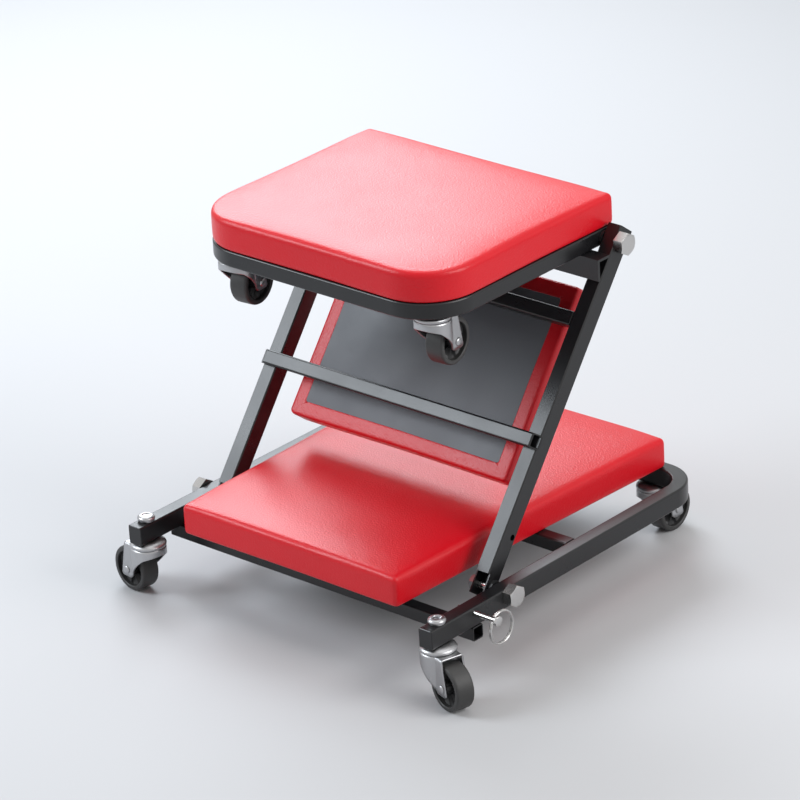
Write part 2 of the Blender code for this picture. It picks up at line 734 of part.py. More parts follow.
def build_seat(axis, looks):
    """Level seat frame with its corner plates, its crossbar and pad, in a frame on the seat hinge."""
    level = SEAT_BOTTOM + SEAT_RAIL_H / 2
    centre_half = SEAT_HALF - RAIL_W / 2
    front = -SEAT_FRONT_REACH + RAIL_W / 2
    stations = u_stations(centre_half, SEAT_REAR_REACH, front, SEAT_CORNER - RAIL_W / 2, level)
    mesh = tube_mesh("seat_frame", stations, RAIL_W, SEAT_RAIL_H)
    frame = place("seat_frame", mesh, looks["black"], axis)
    holes = bmesh.new()
    for side, sign in (("left", -1), ("right", 1)):
        boolean(frame, cutter(f"seat_corner_plate_{side}", corner_plate(sign), axis), "UNION")
        x, y = seat_stem(sign)
        drill(holes, STEM_DIA / 2 + HOLE_PLAY, (x, y, SEAT_BOTTOM - WALL), (x, y, level))
        low, high = sign * (SEAT_INNER - WALL), sign * (SEAT_HALF + WALL)
        drill(holes, BOLT_DIA / 2 + HOLE_PLAY, (low, 0, 0), (high, 0, 0))
    boolean(frame, cutter("seat_frame_holes", mesh_from("seat_frame_holes", holes), axis))

    y, z, reach = -SEAT_BAR_AHEAD, SEAT_TOP - BAR_SIDE / 2, SEAT_INNER - FIT
    bar = tube_mesh("seat_crossbar", straight((-reach, y, z), (reach, y, z)), BAR_SIDE, BAR_SIDE)
    place("seat_crossbar", bar, looks["black"], axis)

    front, rear = -SEAT_FRONT_REACH, SEAT_REAR_REACH + SEAT_PAD_OVERHANG
    corners = [(-SEAT_HALF, front), (SEAT_HALF, front), (SEAT_HALF, rear), (-SEAT_HALF, rear)]
    cushion, board = pad_meshes("seat", corners, [SEAT_CORNER, SEAT_CORNER, PAD_CORNER, PAD_CORNER], 1)
    spot = (0, 0, SEAT_TOP + FIT)
    place("seat_cushion", cushion, looks["vinyl"], axis, spot, smooth=True)
    place("seat_board", board, looks["board"], axis, spot)


def fork_plan(outer, tail):
    """Plan of the fork: a round front under the cup and straight cheeks to the tail."""
    nose = CUP_DIA / 2 - FIT - (FORK_W / 2 - outer)
    join = math.asin(outer / nose)
    points = []
    for i in range(SMALL_ROUND + 1):
        turn = join + (math.tau - 2 * join) * i / SMALL_ROUND
        points.append((nose * math.cos(turn), nose * math.sin(turn)))
    points += [(tail, -outer), (tail, outer)]
    return points


def fork_mesh():
    """Folded fork in the caster's frame: tail along +X, z from the rail's underside."""
    top = -CUP_H - 2 * FIT
    nose = CUP_DIA / 2
    side = [(-nose, top), (TRAIL + FORK_TOP_TAIL, top)]
    side += [(TRAIL + past, AXLE_Z + above) for past, above in FORK_EDGE]
    side.append((-nose, top - FORK_NOSE_H))
    wide = CUP_DIA / 2 + WALL
    stock = prism([Vector((x, -wide, z)) for x, z in side], Vector((0, 2 * wide, 0)))
    fork = place("fork_stock", mesh_from("fork", stock), None)
    low = AXLE_Z - WHEEL_DIA
    plan = [Vector((x, y, low)) for x, y in fork_plan(FORK_W / 2, 2 * TRAIL)]
    slot = [Vector((x, y, low)) for x, y in fork_plan(FORK_W / 2 - FORK_WALL, 3 * TRAIL)]
    holes = bmesh.new()
    drill(holes, AXLE_DIA / 2 + HOLE_PLAY, (TRAIL, -FORK_W, AXLE_Z), (TRAIL, FORK_W, AXLE_Z))
    drill(holes, STEM_DIA / 2 + HOLE_PLAY, (0, 0, top - 2 * FORK_WALL), (0, 0, top + FORK_WALL))
    tools = [
        ("INTERSECT", prism(plan, Vector((0, 0, WHEEL_DIA - low)))),
        ("DIFFERENCE", prism(slot, Vector((0, 0, top - FORK_WALL - low)))),
        ("DIFFERENCE", holes),
    ]
    items = []
    for operation, shape in tools:
        items.append(cutter("fork_tool", mesh_from("fork_tool", shape)))
        boolean(fork, items[-1], operation)
    mesh = settled(fork)
    for item in items:
        bpy.data.objects.remove(item, do_unlink=True)
    return mesh


def across(outline, at):
    """Stands a flat ring across the Y axis."""
    return [Vector((a, at, b)) for a, b in outline]


def wheel_mesh():
    """Wheel about Y: bored hub, thin web and a wide tread ring."""
    radius, half, web = WHEEL_DIA / 2, WHEEL_W / 2, WEB_W / 2
    hub, bore = HUB_DIA / 2, AXLE_DIA / 2 + HOLE_PLAY
    inner = radius - TREAD_WALL
    side = [
        (bore, HUB_W / 2), (hub, HUB_W / 2), (hub + WEB_FILLET, web), (inner - WEB_FILLET, web),
        (inner, half), (radius - TREAD_CROWN, half), (radius, half - TREAD_SHOULDER),
    ]
    profile = [(r, -w) for r, w in side] + [(r, w) for r, w in reversed(side)]
    return mesh_from("wheel", turned(profile, ROUND, across, closed=True))


def axle_mesh():
    """Rivet through the cheeks and the hub, headed on both sides."""
    shank, head, half = AXLE_DIA / 2, AXLE_HEAD_DIA / 2, FORK_W / 2 + FIT
    side = [(head * share, half + AXLE_HEAD_H * rise) for share, rise in AXLE_HEAD_STEPS]
    side.append((shank, half))
    profile = [(r, -w) for r, w in side] + [(r, w) for r, w in reversed(side)]
    return mesh_from("axle", turned(profile, SMALL_ROUND, across))


def cup_mesh():
    """Upper swivel race, a low round dish under the rail."""
    rim, bore = CUP_DIA / 2, STEM_DIA / 2 + HOLE_PLAY
    bottom = -CUP_H - FIT
    profile = [
        (bore, bottom), (rim - EDGE_BREAK, bottom), (rim, bottom + CUP_LIP), (rim - EDGE_BREAK, -CUP_WAIST),
        (rim - CUP_DOME, -FIT), (bore, -FIT),
    ]
    return mesh_from("cup", turned(profile, ROUND, along_z, closed=True))


def stem_mesh(headed):
    """Stem from its rivet flange under the fork to its head above the rail or its plain end."""
    shank, flange = STEM_DIA / 2, RIVET_FLANGE_DIA / 2
    under = -CUP_H - 3 * FIT - FORK_WALL
    profile = [
        (flange - EDGE_BREAK, under - RIVET_FLANGE_H), (flange, under - RIVET_FLANGE_H + EDGE_BREAK),
        (flange, under), (shank, under),
    ]
    if headed:
        head, seat = STEM_HEAD_DIA / 2, RAIL_H + FIT
        profile.append((shank, seat))
        profile += [(head * share, seat + STEM_HEAD_H * rise) for share, rise in STEM_HEAD_STEPS]
    else:
        profile += [(shank, STEM_IN_RAIL - EDGE_BREAK), (shank - EDGE_BREAK, STEM_IN_RAIL)]
    return mesh_from("stem", turned(profile, SMALL_ROUND, along_z))


def build_casters(seat_axis, looks):
    """Six swivel casters, each turned to where its wheel trails at rest."""
    fork, wheel, axle, cup = fork_mesh(), wheel_mesh(), axle_mesh(), cup_mesh()
    front, rear = FRONT_Y + FRONT_STEM_SETBACK, FRONT_Y + BASE_L - RAIL_W / 2
    spots = [
        ("front_left", (-RAIL_X, front, RAIL_BOTTOM), FRONT_LEFT_TURN, None, True),
        ("front_right", (RAIL_X, front, RAIL_BOTTOM), FRONT_RIGHT_TURN, None, True),
        ("rear_left", (-REAR_STEM_X, rear, RAIL_BOTTOM), REAR_TURN, None, False),
        ("rear_right", (REAR_STEM_X, rear, RAIL_BOTTOM), REAR_TURN, None, False),
        ("seat_left", (*seat_stem(-1), SEAT_BOTTOM), SEAT_TURN, seat_axis, False),
        ("seat_right", (*seat_stem(1), SEAT_BOTTOM), SEAT_TURN, seat_axis, False),
    ]
    for tag, spot, heading, parent, headed in spots:
        swivel = axis_empty(f"{tag}_swivel_axis", spot, parent, (0, 0, heading))
        hub = axis_empty(f"{tag}_wheel_axis", (TRAIL, 0, AXLE_Z), swivel)
        place(f"{tag}_stem", stem_mesh(headed), looks["zinc"], swivel, smooth=True)
        place(f"{tag}_cup", cup, looks["zinc"], swivel, smooth=True)
        place(f"{tag}_fork", fork, looks["zinc"], swivel)
        place(f"{tag}_axle", axle, looks["zinc"], hub, smooth=True)
        place(f"{tag}_wheel", wheel, looks["rubber"], hub, smooth=True)


def main():
    """Builds the creeper."""
    clear_scene()
    looks = {
        "black": paint("black_powder_coat", (0.018, 0.018, 0.019), 0.38, 0.0),
        "vinyl": paint("red_vinyl", (0.62, 0.012, 0.020), 0.42, 0.0),
        "board": paint("grey_board", (0.16, 0.17, 0.19), 0.65, 0.0),
        "zinc": paint("zinc_plate", (0.62, 0.62, 0.63), 0.30, 1.0),
        "rubber": paint("wheel_rubber", (0.045, 0.045, 0.048), 0.55, 0.0),
    }
    base_axis = axis_empty("base_hinge_axis", BASE_AXIS)
    mid_axis = axis_empty("mid_section_axis", (0, 0, 0), base_axis, (REST_ANGLE, 0, 0))
    seat_axis = axis_empty("seat_hinge_axis", SEAT_AXIS_MID, mid_axis, (-REST_ANGLE, 0, 0))
    build_base(looks)
    build_lock(looks)
    build_middle(mid_axis, looks)
    build_seat(seat_axis, looks)
    hinge_hardware("base_hinge", BASE_HALF, MID_INNER, MID_HALF, BASE_SIDE_GAP, base_axis, looks)
    hinge_hardware("seat_hinge", MID_HALF, SEAT_INNER, SEAT_HALF, SEAT_SIDE_GAP, seat_axis, looks)
    build_casters(seat_axis, looks)


main()
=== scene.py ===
"""Dresses the folding creeper: vinyl pads, coated tubes, plated casters and hinge hardware."""

from __future__ import annotations

import json
import logging
import math
from dataclasses import dataclass, field
from enum import Enum
from typing import Callable

import bmesh
import bpy
import numpy as np
from mathutils import Matrix

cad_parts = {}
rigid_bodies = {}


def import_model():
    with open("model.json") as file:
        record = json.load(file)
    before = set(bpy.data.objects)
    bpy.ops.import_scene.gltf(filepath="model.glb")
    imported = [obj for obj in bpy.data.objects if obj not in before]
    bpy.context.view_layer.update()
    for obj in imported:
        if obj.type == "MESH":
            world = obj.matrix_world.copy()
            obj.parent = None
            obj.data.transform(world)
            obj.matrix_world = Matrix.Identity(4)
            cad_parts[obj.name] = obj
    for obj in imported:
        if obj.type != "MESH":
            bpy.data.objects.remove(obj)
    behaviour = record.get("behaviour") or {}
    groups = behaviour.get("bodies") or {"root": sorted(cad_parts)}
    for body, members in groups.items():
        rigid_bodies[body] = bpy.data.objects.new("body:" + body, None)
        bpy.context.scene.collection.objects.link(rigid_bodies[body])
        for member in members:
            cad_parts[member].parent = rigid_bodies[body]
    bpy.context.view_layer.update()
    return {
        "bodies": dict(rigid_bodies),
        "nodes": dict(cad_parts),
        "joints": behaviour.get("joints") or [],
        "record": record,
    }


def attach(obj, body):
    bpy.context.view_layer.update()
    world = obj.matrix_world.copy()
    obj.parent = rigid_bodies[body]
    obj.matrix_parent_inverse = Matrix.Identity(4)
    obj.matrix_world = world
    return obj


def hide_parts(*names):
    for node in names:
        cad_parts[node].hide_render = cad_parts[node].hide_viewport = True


LOG = logging.getLogger("creeper")

Array = np.ndarray
Item = bpy.types.Object
Node = bpy.types.Node
Tree = bpy.types.NodeTree
Colour = tuple[float, float, float]
Placer = Callable[[Array], Array]
Run = tuple[Array, Array]

# Sizes and angles shared by several sub-assemblies, in metres and radians
FIT = 0.0003
RAIL_W = 0.018
RAIL_H = 0.022
SEAT_RAIL_H = 0.018
WALL = 0.0015
BAR = 0.016
BASE_HALF = 0.215
MID_HALF = 0.1923
MID_INNER = 0.1743
SEAT_HALF = 0.1707
SEAT_INNER = 0.1527
CASTER_H = 0.066
WHEEL = 0.0515
WHEEL_W = 0.0215
TRAIL = 0.024
BASE_LENGTH = 0.455
FRONT_STEM = 0.019
REAR_STEM_IN = 0.065
SEAT_STEM_REACH = 0.0365
LOCK_BACK = 0.0667
LOCK_DROP = 0.0058
FRONT_LEFT_TURN = math.radians(172.0)
FRONT_RIGHT_TURN = math.radians(-16.0)
SEAT_TURN = math.radians(96.0)
WHEEL_REACH = TRAIL + WHEEL / 2
REACH_FRONT = (
    FRONT_STEM + WHEEL_REACH * math.sin(FRONT_RIGHT_TURN) - WHEEL_W / 2 * math.cos(FRONT_RIGHT_TURN)
)
FRONT_Y = -(REACH_FRONT + BASE_LENGTH - RAIL_W / 2 + WHEEL_REACH) / 2
RAIL_BOTTOM = CASTER_H
RAIL_TOP = RAIL_BOTTOM + RAIL_H
REST = math.radians(52.8)
BASE_HINGE = 0.1229
TUBE_MID = 0.004
BASE_AXIS = np.array([0.0, FRONT_Y + BASE_HINGE, RAIL_BOTTOM + RAIL_H / 2 + TUBE_MID])
TUBE_FRONT = TUBE_MID + RAIL_H / 2
TUBE_BACK = TUBE_MID - RAIL_H / 2
HINGE_SPAN = 0.3838
SEAT_AXIS_OUT = 0.0035
SEAT_AXIS_LEAN = TUBE_MID + SEAT_AXIS_OUT
SEAT_BOTTOM = SEAT_AXIS_LEAN - TUBE_FRONT
SEAT_TOP = SEAT_BOTTOM + SEAT_RAIL_H
SEAT_FRONT = 0.2697
SEAT_CORNER = 0.060
SEAT_REAR = 0.0130

# Edges sharper than this many degrees stay sharp, unless a piece says otherwise
CREASE = 35.0


class Side(Enum):
    """Which side of the creeper a piece is on, and its direction along X."""

    LEFT = -1
    RIGHT = 1


class Tone(Enum):
    """Names of the record's material slots."""

    BLACK = "black_powder_coat"
    VINYL = "red_vinyl"
    BOARD = "grey_board"
    ZINC = "zinc_plate"
    WHEEL = "wheel_rubber"


def lean(points: Array) -> Array:
    """Moves points from the leaning section's own frame to the world.

    Args:
        points: Rows of (across, up along the tubes, out of the tubes' fronts).

    Returns:
        Rows of world points: the frame turned about X by the rest angle, on the base hinge.
    """
    x, s, n = points[..., 0], points[..., 1], points[..., 2]
    y = s * math.cos(REST) - n * math.sin(REST)
    z = s * math.sin(REST) + n * math.cos(REST)
    return np.stack([x, y, z], axis=-1) + BASE_AXIS


SEAT_AXIS = lean(np.array([0.0, HINGE_SPAN, SEAT_AXIS_LEAN]))


def around(count: int) -> Array:
    """Even angles all the way round."""
    return np.linspace(0, math.tau, count, endpoint=False)


def unit(turn: Array) -> Array:
    """Rows of (cos turn, sin turn)."""
    return np.stack([np.cos(turn), np.sin(turn)], axis=-1)


def polar(radius: Array | float, turn: Array, along: Array | float) -> Array:
    """Points about an axis: (radius cos turn, radius sin turn, along)."""
    return np.stack(np.broadcast_arrays(radius * np.cos(turn), radius * np.sin(turn), along), axis=-1)


def raised(plan: Array, z: Array | float) -> Array:
    """Gives rows of (x, y) a height."""
    return np.column_stack([plan, np.broadcast_to(z, len(plan))])


def normalised(rows: Array) -> Array:
    """Scales each row to a length of one."""
    return rows / np.linalg.norm(rows, axis=-1, keepdims=True)


def linked(name: str, data: bpy.types.ID) -> Item:
    """Makes an object and links it to the scene.

    Args:
        name: The object's name.
        data: Its mesh, lamp or camera.

    Returns:
        The object, at the origin.
    """
    item = bpy.data.objects.new(name, data)
    bpy.context.scene.collection.objects.link(item)
    return item


class Surface:
    """Grids of points gathered into one mesh."""

    def __init__(self) -> None:
        """Starts with no points."""
        self.points: list[Array] = []
        self.faces: list[Array] = []
        self.count = 0

    def grid(self, points: Array, wrap_rows: bool = False, wrap_columns: bool = True) -> Surface:
        """Adds a grid of points and the quads between them.

        Args:
            points: Array of rows by columns by three.
            wrap_rows: Joins the last row to the first.
            wrap_columns: Joins the last column to the first.

        Returns:
            This surface.
        """
        rows, columns = points.shape[:2]
        index = self.count + np.arange(rows * columns).reshape(rows, columns)
        if wrap_rows:
            index = np.vstack([index, index[:1]])
        if wrap_columns:
            index = np.hstack([index, index[:, :1]])
        corners = (index[:-1, :-1], index[:-1, 1:], index[1:, 1:], index[1:, :-1])
        self.faces.append(np.stack([c.ravel() for c in corners], axis=1))
        self.points.append(points.reshape(-1, 3))
        self.count += rows * columns
        return self

    def cap(self, ring: Array) -> Surface:
        """Closes a ring with a fan about its middle.

        Args:
            ring: Array of points by three.

        Returns:
            This surface.
        """
        size = len(ring)
        index = self.count + np.arange(size)
        hub = np.full(size, self.count + size)
        self.faces.append(np.stack([index, np.roll(index, -1), hub], axis=1))
        self.points.append(np.vstack([ring, ring.mean(axis=0)]))
        self.count += size + 1
        return self

    def capped(self, rings: Array) -> Surface:
        """Adds a grid of closed rings with a cap on its first and its last."""
        return self.grid(rings).cap(rings[0]).cap(rings[-1])

    def object(self, name: str, crease: float = CREASE, flat: bool = False) -> Item:
        """Makes the mesh object, with doubled points merged and faces pointing out.

        Args:
            name: The piece's name.
            crease: Edges sharper than this many degrees stay sharp.
            flat: Shades big faces flat and leaves the bend to the narrow ones beside them.

        Returns:
            The linked object, at the origin.
        """
        points = np.vstack(self.points)
        _, first, same = np.unique(np.round(points, 7), axis=0, return_index=True, return_inverse=True)
        same = same.reshape(-1)
        faces = [list(dict.fromkeys(face)) for block in self.faces for face in same[block].tolist()]
        mesh = bpy.data.meshes.new(name)
        mesh.from_pydata(points[first].tolist(), [], [face for face in faces if len(face) > 2])
        mesh.validate()
        turn_out(mesh)
        mesh.shade_smooth()
        mesh.set_sharp_from_angle(angle=math.radians(crease))
        item = linked(name, mesh)
        if flat:
            apply_modifier(item, "WEIGHTED_NORMAL", mode="FACE_AREA", weight=50, keep_sharp=True)
        return item


def apply_modifier(item: Item, kind: str, **values: object) -> None:
    """Adds one modifier and applies it to the mesh.

    Args:
        item: The piece.
        kind: The modifier's type.
        values: The modifier's settings.
    """
    modifier = item.modifiers.new(kind.title(), kind)
    for name, value in values.items():
        setattr(modifier, name, value)
    shown = item.evaluated_get(bpy.context.evaluated_depsgraph_get())
    mesh = bpy.data.meshes.new_from_object(shown)
    item.modifiers.remove(modifier)
    item.data = mesh


def turn_out(mesh: bpy.types.Mesh) -> None:
    """Makes a mesh's faces agree and point outwards.

    Args:
        mesh: The mesh to turn.
    """
    shape = bmesh.new()
    shape.from_mesh(mesh)
    bmesh.ops.recalc_face_normals(shape, faces=shape.faces)
    shape.to_mesh(mesh)
    shape.free()


def read(mesh: bpy.types.Mesh, what: str = "co") -> Array:
    """Reads the places or the normals of a mesh's points.

    Args:
        mesh: The mesh.
        what: Which of the two, as Blender names it.

    Returns:
        Rows of three.
    """
    flat = np.empty(len(mesh.vertices) * 3)
    mesh.vertices.foreach_get(what, flat)
    return flat.reshape(-1, 3)


def write(mesh: bpy.types.Mesh, points: Array) -> None:
    """Writes rows of three back to a mesh's points."""
    mesh.vertices.foreach_set("co", points.ravel())
    mesh.update()


def turned(profile: Array, frame: Placer, count: int = 48, closed: bool = False) -> Surface:
    """Turns a profile about an axis: each (radius, place) pair becomes a circle.

    Args:
        profile: Rows of (radius, place along the axis).
        frame: Maps rows of (first radial, second radial, along the axis) to world points.
        count: Points round each circle.
        closed: Joins the profile's ends, for a bored piece.

    Returns:
        The surface, capped unless closed.
    """
    points = frame(polar(profile[:, :1], around(count), profile[:, 1:]))
    return Surface().grid(points, wrap_rows=True) if closed else Surface().capped(points)


def rounded_box(width: float, height: float, radius: float, steps: int = 5) -> Array:
    """Outline of a rectangle with round corners: each corner's centre + radius times (cos, sin).

    Args:
        width: Full width.
        height: Full height.
        radius: Corner radius.
        steps: Points on each corner, less one.

    Returns:
        Rows of (across, up), counterclockwise.
    """
    turn = np.linspace(0, math.pi / 2, steps + 1)
    arcs = []
    for i, (a, b) in enumerate(((1, 1), (-1, 1), (-1, -1), (1, -1))):
        centre = np.array([a * (width / 2 - radius), b * (height / 2 - radius)])
        arcs.append(centre + radius * unit(turn + i * math.pi / 2))
    return np.vstack(arcs)


def swept(run: Run, up: Array, outline: Array) -> Array:
    """Carries an outline along a path: point = centre + side times across + up times height.

    Args:
        run: Rows of centres, and rows of sideways unit vectors.
        up: The upward unit vector.
        outline: Rows of (across, up).

    Returns:
        Array of path points by outline points by three.
    """
    path, side = run
    across = side[:, None, :] * outline[None, :, :1]
    return path[:, None, :] + across + up * outline[None, :, 1:]


def new_node(tree: Tree, kind: str, inputs: dict | None = None, **settings: object) -> Node:
    """Adds one node to a tree.

    Args:
        tree: The tree.
        kind: The node's type.
        inputs: Plain values of its sockets.
        settings: Its own settings.

    Returns:
        The node.
    """
    made = tree.nodes.new(kind)
    for name, value in settings.items():
        setattr(made, name, value)
    for name, value in (inputs or {}).items():
        made.inputs[name].default_value = value
    return made


def join(tree: Tree, *links: tuple[Node, str | int, Node, str | int]) -> None:
    """Links nodes: each row is a node, its output, another node and the input that it feeds."""
    for start, output, end, entry in links:
        tree.links.new(start.outputs[output], end.inputs[entry])


@dataclass(frozen=True)
class Recipe:
    """One finish: its plain shader values and the grain that varies them."""

    name: str
    colour: Colour
    darker: Colour
    roughness: tuple[float, float]
    metallic: float
    speck_scale: float
    grain_scale: float
    grain_depth: float
    specular: float = 0.5


class Finishes:
    """Makes each finish once, from shared groups of nodes."""

    def __init__(self) -> None:
        """Builds the shared groups."""
        self.made: dict[str, bpy.types.Material] = {}
        self.speck = self._speck_group()
        self.pebble = self._pebble_group()

    @staticmethod
    def _group(name: str, numbers: dict[str, float], *results: str) -> tuple[Tree, Node, Node]:
        """Starts a group with a Vector and some numbers going in.

        Args:
            name: The group's name.
            numbers: Names and starting values of the numbers.
            results: Names of the numbers coming out.

        Returns:
            The group, the node that feeds it and the node that ends it.
        """
        group = bpy.data.node_groups.new(name, "ShaderNodeTree")
        group.interface.new_socket(name="Vector", in_out="INPUT", socket_type="NodeSocketVector")
        for label, value in numbers.items():
            socket = group.interface.new_socket(name=label, in_out="INPUT", socket_type="NodeSocketFloat")
            socket.default_value = value
        for label in results:
            group.interface.new_socket(name=label, in_out="OUTPUT", socket_type="NodeSocketFloat")
        return group, new_node(group, "NodeGroupInput"), new_node(group, "NodeGroupOutput")

    def _speck_group(self) -> Tree:
        """Builds the group for fine uneven colour and gloss: mask = 0.45 times fine noise + broad noise.

        Returns:
            A group from Vector, Scale, Low and High to a Mask and a Gloss between Low and High.
        """
        numbers = {"Scale": 200.0, "Low": 0.3, "High": 0.5}
        group, source, sink = self._group("uneven_finish", numbers, "Mask", "Gloss")
        fine = new_node(group, "ShaderNodeTexNoise", {"Detail": 4.0})
        broad = new_node(group, "ShaderNodeTexNoise", {"Scale": 18.0, "Detail": 3.0})
        both = new_node(group, "ShaderNodeMath", {1: 0.45}, operation="MULTIPLY_ADD")
        spread = new_node(group, "ShaderNodeMapRange", {"From Min": 0.42, "From Max": 1.02})
        join(
            group,
            (source, "Vector", fine, "Vector"),
            (source, "Vector", broad, "Vector"),
            (source, "Scale", fine, "Scale"),
            (fine, "Fac", both, 0),
            (broad, "Fac", both, 2),
            (both, 0, spread, "Value"),
            (source, "Low", spread, "To Min"),
            (source, "High", spread, "To Max"),
            (both, 0, sink, "Mask"),
            (spread, "Result", sink, "Gloss"),
        )
        return group

    def _pebble_group(self) -> Tree:
        """Builds the group for a pebbled skin: fine noise less the distance to the nearest cell.

        Returns:
            A group from Vector and Scale to a Height.
        """
        group, source, sink = self._group("pebbled_skin", {"Scale": 700.0}, "Height")
        cells = new_node(group, "ShaderNodeTexVoronoi", {"Smoothness": 0.6}, feature="SMOOTH_F1")
        noise = new_node(group, "ShaderNodeTexNoise", {"Detail": 3.0})
        both = new_node(group, "ShaderNodeMath", operation="SUBTRACT")
        for texture in (cells, noise):
            for name in ("Vector", "Scale"):
                join(group, (source, name, texture, name))
        join(
            group,
            (noise, "Fac", both, 0),
            (cells, "Distance", both, 1),
            (both, 0, sink, "Height"),
        )
        return group

    def material(self, recipe: Recipe) -> bpy.types.Material:
        """Makes a recipe's material, or returns the one already made.

        Args:
            recipe: The finish.

        Returns:
            A material on Object coordinates.
        """
        if recipe.name in self.made:
            return self.made[recipe.name]
        made = bpy.data.materials.new(recipe.name)
        made.use_nodes = True
        tree = made.node_tree
        shader = tree.nodes["Principled BSDF"]
        place = new_node(tree, "ShaderNodeTexCoord")
        low, high = recipe.roughness
        gloss = {"Scale": recipe.speck_scale, "Low": low, "High": high}
        speck = new_node(tree, "ShaderNodeGroup", gloss, node_tree=self.speck)
        skin = new_node(tree, "ShaderNodeGroup", {"Scale": recipe.grain_scale}, node_tree=self.pebble)
        tones = {"A": (*recipe.darker, 1.0), "B": (*recipe.colour, 1.0)}
        blend = new_node(tree, "ShaderNodeMix", tones, data_type="RGBA")
        bump = new_node(tree, "ShaderNodeBump", {"Distance": recipe.grain_depth, "Strength": 1.0})
        join(
            tree,
            (place, "Object", speck, "Vector"),
            (place, "Object", skin, "Vector"),
            (speck, "Mask", blend, "Factor"),
            (blend, "Result", shader, "Base Color"),
            (speck, "Gloss", shader, "Roughness"),
            (skin, "Height", bump, "Height"),
            (bump, "Normal", shader, "Normal"),
        )
        shader.inputs["Metallic"].default_value = recipe.metallic
        shader.inputs["Specular IOR Level"].default_value = recipe.specular
        self.made[recipe.name] = made
        return made


POWDER_COAT = Recipe(
    "powder_coat", colour=(0.008, 0.008, 0.009), darker=(0.005, 0.005, 0.006), roughness=(0.26, 0.34),
    metallic=0.0, speck_scale=900.0, grain_scale=1400.0, grain_depth=0.00001,
)
VINYL = Recipe(
    "vinyl", colour=(0.70, 0.005, 0.014), darker=(0.64, 0.004, 0.012), roughness=(0.31, 0.36),
    metallic=0.0, speck_scale=260.0, grain_scale=520.0, grain_depth=0.00018, specular=0.38,
)
BOARD = Recipe(
    "back_board", colour=(0.120, 0.128, 0.142), darker=(0.100, 0.107, 0.120), roughness=(0.42, 0.58),
    metallic=0.0, speck_scale=500.0, grain_scale=900.0, grain_depth=0.00004,
)
ZINC = Recipe(
    "zinc", colour=(0.46, 0.46, 0.47), darker=(0.36, 0.36, 0.37), roughness=(0.26, 0.42),
    metallic=1.0, speck_scale=500.0, grain_scale=900.0, grain_depth=0.00002,
)
BRIGHT = Recipe(
    "bright_plate", colour=(0.60, 0.59, 0.58), darker=(0.50, 0.49, 0.48), roughness=(0.14, 0.26),
    metallic=1.0, speck_scale=400.0, grain_scale=900.0, grain_depth=0.00001,
)
TYRE = Recipe(
    "tyre", colour=(0.040, 0.039, 0.038), darker=(0.026, 0.026, 0.026), roughness=(0.42, 0.58),
    metallic=0.0, speck_scale=500.0, grain_scale=900.0, grain_depth=0.00005,
)
HUB = Recipe(
    "hub_plastic", colour=(0.010, 0.010, 0.011), darker=(0.006, 0.006, 0.007), roughness=(0.35, 0.50),
    metallic=0.0, speck_scale=400.0, grain_scale=800.0, grain_depth=0.00003,
)


@dataclass
class Dresser:
    """Gives finished pieces their material and body."""

    finishes: Finishes
    nodes: dict[str, Item]
    made: list[str] = field(default_factory=list)

    def paint(self, item: Item, recipe: Recipe) -> None:
        """Gives a piece one finish in place of any other."""
        item.data.materials.clear()
        item.data.materials.append(self.finishes.material(recipe))

    def dress(self, item: Item, recipe: Recipe, body: str, tone: Tone, *stands_for: str) -> None:
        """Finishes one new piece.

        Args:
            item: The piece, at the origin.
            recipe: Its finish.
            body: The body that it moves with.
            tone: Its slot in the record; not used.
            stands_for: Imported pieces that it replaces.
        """
        self.paint(item, recipe)
        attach(item, body)
        if stands_for:
            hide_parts(*stands_for)
        self.made.append(item.name)
        LOG.info("made %s on %s", item.name, body)

    def keep(self, node: str, recipe: Recipe) -> None:
        """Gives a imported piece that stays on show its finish."""
        self.paint(self.nodes[node], recipe)
        LOG.info("kept %s", node)


